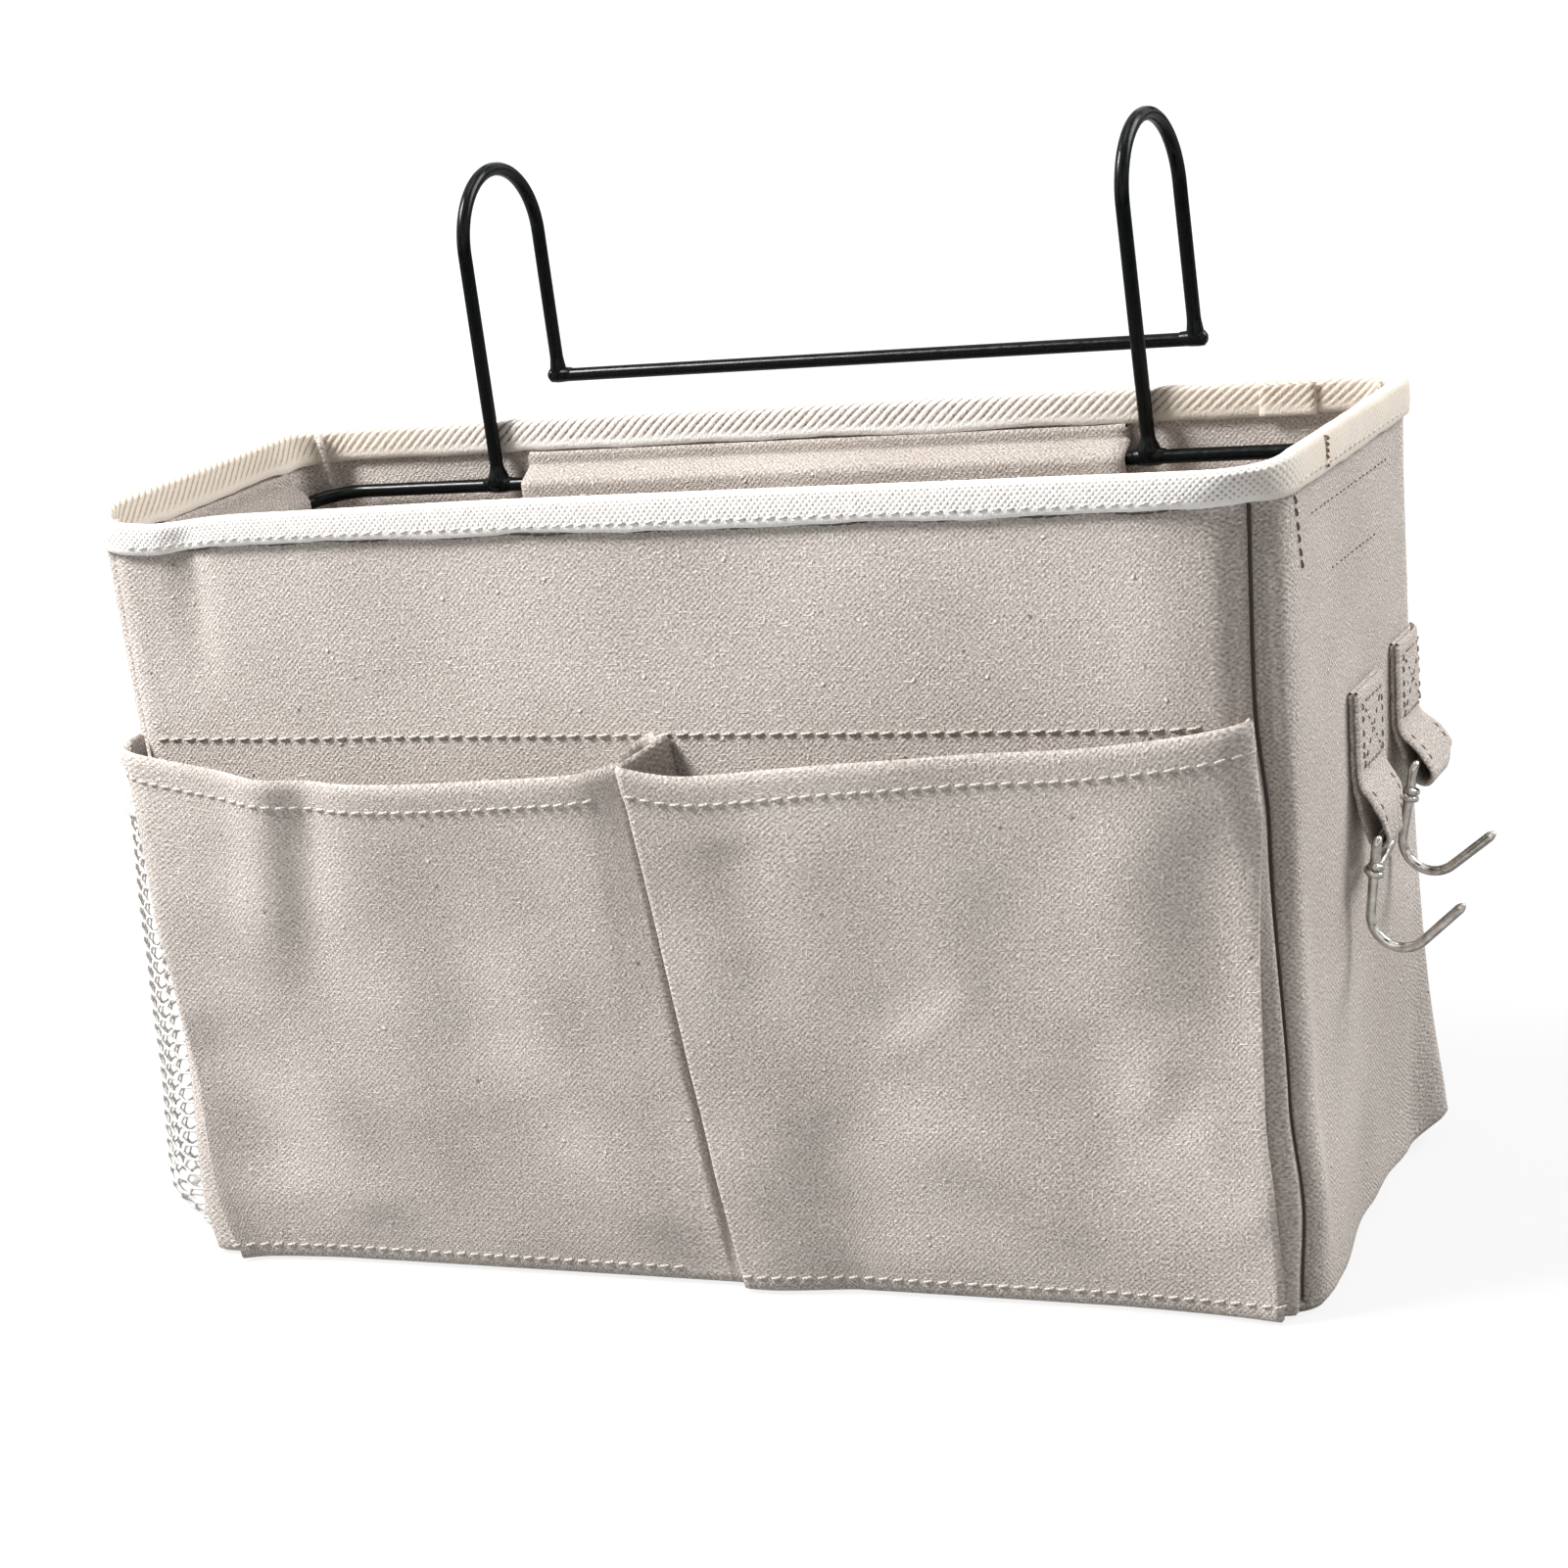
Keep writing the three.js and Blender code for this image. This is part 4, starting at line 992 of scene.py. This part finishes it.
def tab(hinge, turn, lean, tilt, drop, rise, twist, gather):
    """A band of canvas: sewn flat on the wall, hanging in a loop, and sewn flat again over itself."""
    fold, half = LOOP_FOLD, TAB_WIDTH / 2
    inner = [(-TAB_LAYER, z) for z in np.linspace(TAB_SEWN, 1.2, 15)]
    outer = [(TAB_LAYER, z) for z in np.linspace(1.2, TAB_SEWN, 15)]
    loop = [(-0.7, -1.6), (-lerp(0.6, fold, 0.85), -drop * 0.5)]
    loop += [(fold * math.cos(a), fold - drop + fold * math.sin(a)) for a in np.linspace(PI, 2 * PI, 15)]
    loop += [(lerp(0.6, fold, 0.9), -drop * 0.5), (0.75, -1.6)]
    s, c = math.sin(-tilt - lean), math.cos(-tilt - lean)
    hang = [(x * c + z * s, -x * s + z * c) for x, z in loop]
    section = spaced(spline(inner + hang + outer, 4), 0.7)
    columns = 25
    centre = columns // 2
    across = np.linspace(-half, half, columns)
    mid = np.array([[(x, y, z) for y in across] for x, z in section])
    x, y, z = np.moveaxis(mid, -1, 0)  # views: a change to one of them moves the band
    # The loop hangs on its hook at the front; behind the wire it is free and turns up
    low, back = smooth(-z, 0.0, drop), smooth(y, 0.8, half)
    y -= 1.6 * low * back
    z += low * rise * back
    x += low * (twist - rise * math.tan(tilt)) * back + 0.12 * noise(mid, 4, 9.0) * low
    # The eye of the hook gathers the foot of the loop to the front, with ripples on the outer layer
    foot = int(np.argmin(z[:, centre]))
    bunch = gather * smooth(-z, 0.34 * drop, 0.78 * drop)
    outer_layer = smooth(np.arange(len(mid)), foot + 1, foot + 6)[:, None]
    x += 0.5 * bunch * outer_layer * np.sin(1.25 * y + 0.8)
    y -= (y + half) * bunch
    # Frayed edges, and a puff of the outer layer where it is sewn
    edge = np.abs(across) / half
    y += np.sign(across) * edge**8 * 0.3 * noise(mid, 0.8, 5.0)
    puff = 0.2 * smooth(z, 1, 4) * (1 - edge**4) * hump(z, 9, 7)
    x += (x > 0) * (puff + 0.08 * noise(mid, 2.5, 4.0))
    sewn = turned(turn, lean)
    out = normals(mid) @ sewn.T
    hug = smooth(z, -5.0, 0.5)

    def placed(p, weight):
        p = p @ sewn.T + hinge
        p[..., 0] -= weight * round_corner(p)
        return p

    hung = [i for i in range(foot + 8, len(mid)) if z[i, centre] < -1.0]
    face = placed(mid + normals(mid) * (TAB_CLOTH / 2), hug)
    loop_lines = [(face[hung, column], out[hung, column]) for column in (3, -4)]
    # A box with a cross through it holds the sewn end
    lines = []
    margin = 2.2
    wide, top = half - margin, TAB_SEWN - margin
    box = [(-wide, 2.4), (wide, 2.4), (wide, top), (-wide, top)]
    for (y0, z0), (y1, z1) in list(zip(box, box[1:] + box[:1])) + [(box[0], box[2]), (box[1], box[3])]:
        t = np.linspace(0, 1, 14)[:, None]
        path = np.hstack([0 * t + TAB_LAYER + TAB_CLOTH / 2 + 0.2, lerp(y0, y1, t), lerp(z0, z1, t)])
        lines.append((placed(path, 1.0), np.repeat([sewn[:, 0]], 14, axis=0)))
    return slab(placed(mid, hug), TAB_CLOTH), lines, loop_lines


# Put the bag together

bag_piece = made(
    "bag", bag(), CLOTH,
    nodes=("front_panel", "back_panel", "left_side_panel", "right_side_panel", "bottom_panel"),
)
rim_piece = made("rim_twill", tape(), COTTON, nodes=("rim_tape",))
pocket_parts, pocket_thread, plan = pockets()
pocket_piece = made("pocket_strip", pocket_parts, CLOTH, nodes=("front_pockets",))
net_piece = made("net_pocket", net(), NET, nodes=("mesh_pocket",), sharp=80)
mouth_piece = made("net_mouth", binding(), COTTON, nodes=("mesh_binding",))
facing_piece = made("facing_strip", facing(), CLOTH, nodes=("front_facing",))
back_piece = made("back_channel", sleeve(back_sleeve_point, 16), SHADED_CANVAS, nodes=("back_sleeve",))
for name, side in (("left", -1), ("right", 1)):
    parts = sleeve(side_sleeve_point(side), 22)
    channel = made(f"{name}_channel", parts, SHADED_CANVAS, nodes=(f"{name}_sleeve",))

made("frame_rod", tube(frame_line(), WIRE / 2, 18), BLACK, nodes=("frame_wire",))
for name, x in zip(("left", "right"), HOOK_X):
    made(f"{name}_hanger", hook_wire(x), BLACK, nodes=(f"{name}_hook",))
rod = xyz(np.linspace(HOOK_X[0] - ROD_END, HOOK_X[1] + ROD_END, 120), REAR_Y, REAR_Z)
made("rear_rod", tube(rod, WIRE / 2, 18), BLACK, nodes=("rear_bar",))

# Top stitch, hems, base of the pockets, tape and back channel in pale thread
threads = stitches(*on_wall(0, np.linspace(-0.005, 1.005, 150), TOP_STITCH), pitch=3.4, length=2.7, slant=7)
left_end = int(np.argmax(plan[:, 2] > -8.5))
right_start = int(np.argmax((plan[:, 3] > 12.3) & (plan[:, 2] > -4)))
for start, stop in ((10, left_end), (right_start, len(plan) - 10)):
    threads += stitches(*pocket_thread(start, stop, drop=HEM_STITCH), length=2.4, slant=7)
    threads += stitches(*pocket_thread(start, stop, rise=BASE_STITCH), pitch=3.2, length=2.4, radius=0.26)
fine = dict(pitch=2.9, length=2.1, radius=0.22)
for side in (0, 2, 4, 6):
    threads += stitches(*on_wall(side, np.linspace(0, 1, 130), TAPE_STITCH, 1.28), **fine)
for z in (150.6, 138.6):
    threads += stitches(*on_wall(4, 0.5 - np.linspace(-0.55, 0.53, 120) / 2, z), **fine)


def side_share(y, z):
    """How far along the right side a place at this Y is, from 0 to 1."""
    _, _, depth, corner = wall_plan(z)
    return (y + depth - corner) / (2 * (depth - corner))


# Needle marks of the side channels, dark as painted shade in their needle holes; a painted shadow line of
# dark stitches below the front tape; and darker thread by the right seam
marks = []
for y0, y1, z in ((-23, 25, 147.3), (-12, 18, 134.5)):
    at = side_share(np.linspace(y0, y1, 60), z)
    for side, t in ((2, at), (6, 1 - at)):
        marks += stitches(*on_wall(side, t, z, 0.05), pitch=2.4, length=0.45, radius=0.17, sink=0.1)
t = np.linspace(0.01, 0.99, 220)
# Dark stitches just below the front tape's lower edge: a painted shadow line
shadow_below_tape = on_wall(0, t, 153.3 + 0.3 * np.sin(t * 71), 0.2)
marks += stitches(*shadow_below_tape, pitch=2.7, length=2.5, radius=0.2, slant=4, sink=0.15)
z = np.linspace(153, 137, 30)
by_seam = on_wall(2, side_share(np.linspace(-32, -28.6, 30), z), z)
marks += stitches(*by_seam, pitch=2.6, length=2.0, radius=0.22)

# Each tab: its band, its hook, whose bar is hook_drop below the hinge, and its threads
tabs = {
    "front": dict(
        hinge=np.array([125.984, 3.8, 91.0]), turn=0.0399, lean=0.0646, tilt=math.radians(18),
        drop=13.3, rise=0.3, twist=0.1, gather=0.5,
    ),
    "rear": dict(
        hinge=np.array([124.944, 33.0, 93.0]), turn=0.0397, lean=0.0733, tilt=math.radians(28),
        drop=12.2, rise=2.4, twist=0.1, gather=0.0,
    ),
}
sewn_on = []
for name, swing, hook_drop in (("front", 0, 11.5), ("rear", math.radians(4), 7.5)):
    t = tabs[name]
    hinge = t["hinge"]
    parts, lines, loop_lines = tab(**t)
    band = made(f"{name}_band", parts, CLOTH, body=None, nodes=(f"{name}_tab", f"{name}_tab_loop"))
    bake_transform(band)
    hang = np.array([math.sin(t["tilt"]), 0, -math.cos(t["tilt"])]) * hook_drop
    hook = j_hook(hinge + turned(t["turn"], 0) @ hang, t["turn"], swing, closed=name == "front")
    made(f"{name}_wire_hook", hook, NICKEL, body=f"{name}_hook", nodes=(f"{name}_j_hook",))
    short = dict(pitch=2.4, length=1.5, radius=0.17)
    sewn_on += [part for line in lines for part in stitches(*line, **short)]
    sewn = [part for line in loop_lines for part in stitches(*line, **short)]
    made(f"{name}_band_threads", sewn, TAB_THREAD, body=f"{name}_loop")
made("tab_threads", sewn_on, TAB_THREAD)
made("threads", threads, THREAD)
made("needle_marks_and_painted_shade", marks, TAUPE_THREAD_AND_SHADE)

# Thread sunk in the upright seams, coloured near black as painted shade of the seam's crevice
seam_shade_tubes = []
for side, t in SEAMS:
    seam_shade_tubes += tube(on_wall(side, t, np.linspace(3, 152.5, 120), -1.75)[0], 0.36, 8)
made("seam_threads_painted_shade", seam_shade_tubes, SEAM_SHADE_THREAD)

# Lapped end of the rim tape inside the back
lap_t, lap_z = np.linspace(0.035, 0.084, 9)[None, :], np.linspace(153.7, 160.4, 9)[:, None]
lap = settle(wall_point(4, lap_t, lap_z, -3.0))
made("tape_end", slab(lap[::-1], 0.6, start=(346, 10.6)), COTTON)

# Join of the rim tape on the right side, sewn down with brown thread
tack_line = on_wall(2, 0.25, np.linspace(160.2, 153.6, 24), 1.35)
tack = stitches(*tack_line, pitch=1.25, length=1.5, radius=0.25, slant=55)
made("tape_tack", tack, DARK_THREAD)


# Studio


grey = (0.32, 0.32, 0.32, 1)
ground = Look("pale floor", Roughness=0.9, Base_Color=grey, Specular_IOR_Level=0.0)
glow = ground.node("Emission", Color=(1, 1, 1, 1), Strength=1.16)
away = ground.node("VectorMath", 1, settings=[("operation", "LENGTH")], i0=ground.node("NewGeometry"))
seen = ground.times(ground.node("LightPath", "Is Camera Ray"), ground.range(away, 0.2, 0.6, 0.74, 1.0))
blend = ground.node("MixShader", i0=seen, i1=ground.shader.outputs[0], i2=glow)
ground.set(ground.tree.nodes["Material Output"].inputs["Surface"], blend)
floor_half, floor_z = 60, -0.0002
floor_corners = [(floor_half * x, floor_half * y, floor_z) for x, y in ((-1, -1), (1, -1), (1, 1), (-1, 1))]
floor_mesh = bpy.data.meshes.new("floor")
floor_mesh.from_pydata(floor_corners, [], [(0, 1, 2, 3)])
floor_mesh.materials.append(ground.material)
floor = bpy.data.objects.new("floor", floor_mesh)
bpy.context.scene.collection.objects.link(floor)

# Soft light all round, white behind the object, and light and dark fields for the wires to mirror
world = bpy.data.worlds.new("studio")
bpy.context.scene.world = world
world.use_nodes = True
world.node_tree.nodes.clear()
air = Nodes(world.node_tree)
fields = air.node("TexNoise", Vector=air.node("TexCoord", "Generated"), Scale=2.4, Detail=1.0)
mirrored = air.range(fields, 0.42, 0.56, 0.05, 1.3)
level = air.node("Mix", i0=air.node("LightPath", "Is Glossy Ray"), i2=0.25, i3=mirrored)
seen = air.math("MAXIMUM", *(air.node("LightPath", f"Is {kind} Ray") for kind in ("Camera", "Transmission")))
level = air.node("Mix", i0=seen, i2=level, i3=1.0)
sky = air.node("Background", Color=(1, 1, 1, 1), Strength=level)
air.set(air.tree.nodes.new("ShaderNodeOutputWorld").inputs["Surface"], sky)


def lamp(name, at, aim, size, power):
    """A square lamp with its place and aim in metres."""
    light = bpy.data.lights.new(name, "AREA")
    light.energy, light.size = power, size
    obj = bpy.data.objects.new(name, light)
    obj.location = at
    obj.rotation_euler = (Vector(aim) - Vector(at)).to_track_quat("-Z", "Y").to_euler()
    bpy.context.scene.collection.objects.link(obj)


lamp("key", (-0.76, -0.46, 1.12), (0, 0, 0.09), 0.4, 37.5)
lamp("side", (0.92, 0.66, 0.9), (0, 0, 0.09), 0.7, 20)
lamp("top", (0.0, 0.1, 1.4), (0, 0, 0.1), 0.6, 3)

# Camera as fitted to the photo, with its focal length in pixels of the photo's width
FOCAL, PHOTO_WIDTH, SENSOR = 3980.5, 1601, 36
camera = bpy.data.objects.new("camera", bpy.data.cameras.new("camera"))
bpy.context.scene.collection.objects.link(camera)
camera.data.sensor_width = SENSOR
camera.data.lens = SENSOR * FOCAL / PHOTO_WIDTH
camera.data.clip_start = 0.05
forward = Vector((-0.453, 0.855, -0.251)).normalized()
right = Vector((0.891, 0.434, -0.130))
right = (right - forward * right.dot(forward)).normalized()
up = right.cross(forward)
turn = Matrix((right, up, -forward)).transposed().to_4x4()
camera.matrix_world = Matrix.Translation((0.36466, -0.68437, 0.29046)) @ turn
bpy.context.scene.camera = camera
bpy.context.scene.view_settings.view_transform = "Standard"
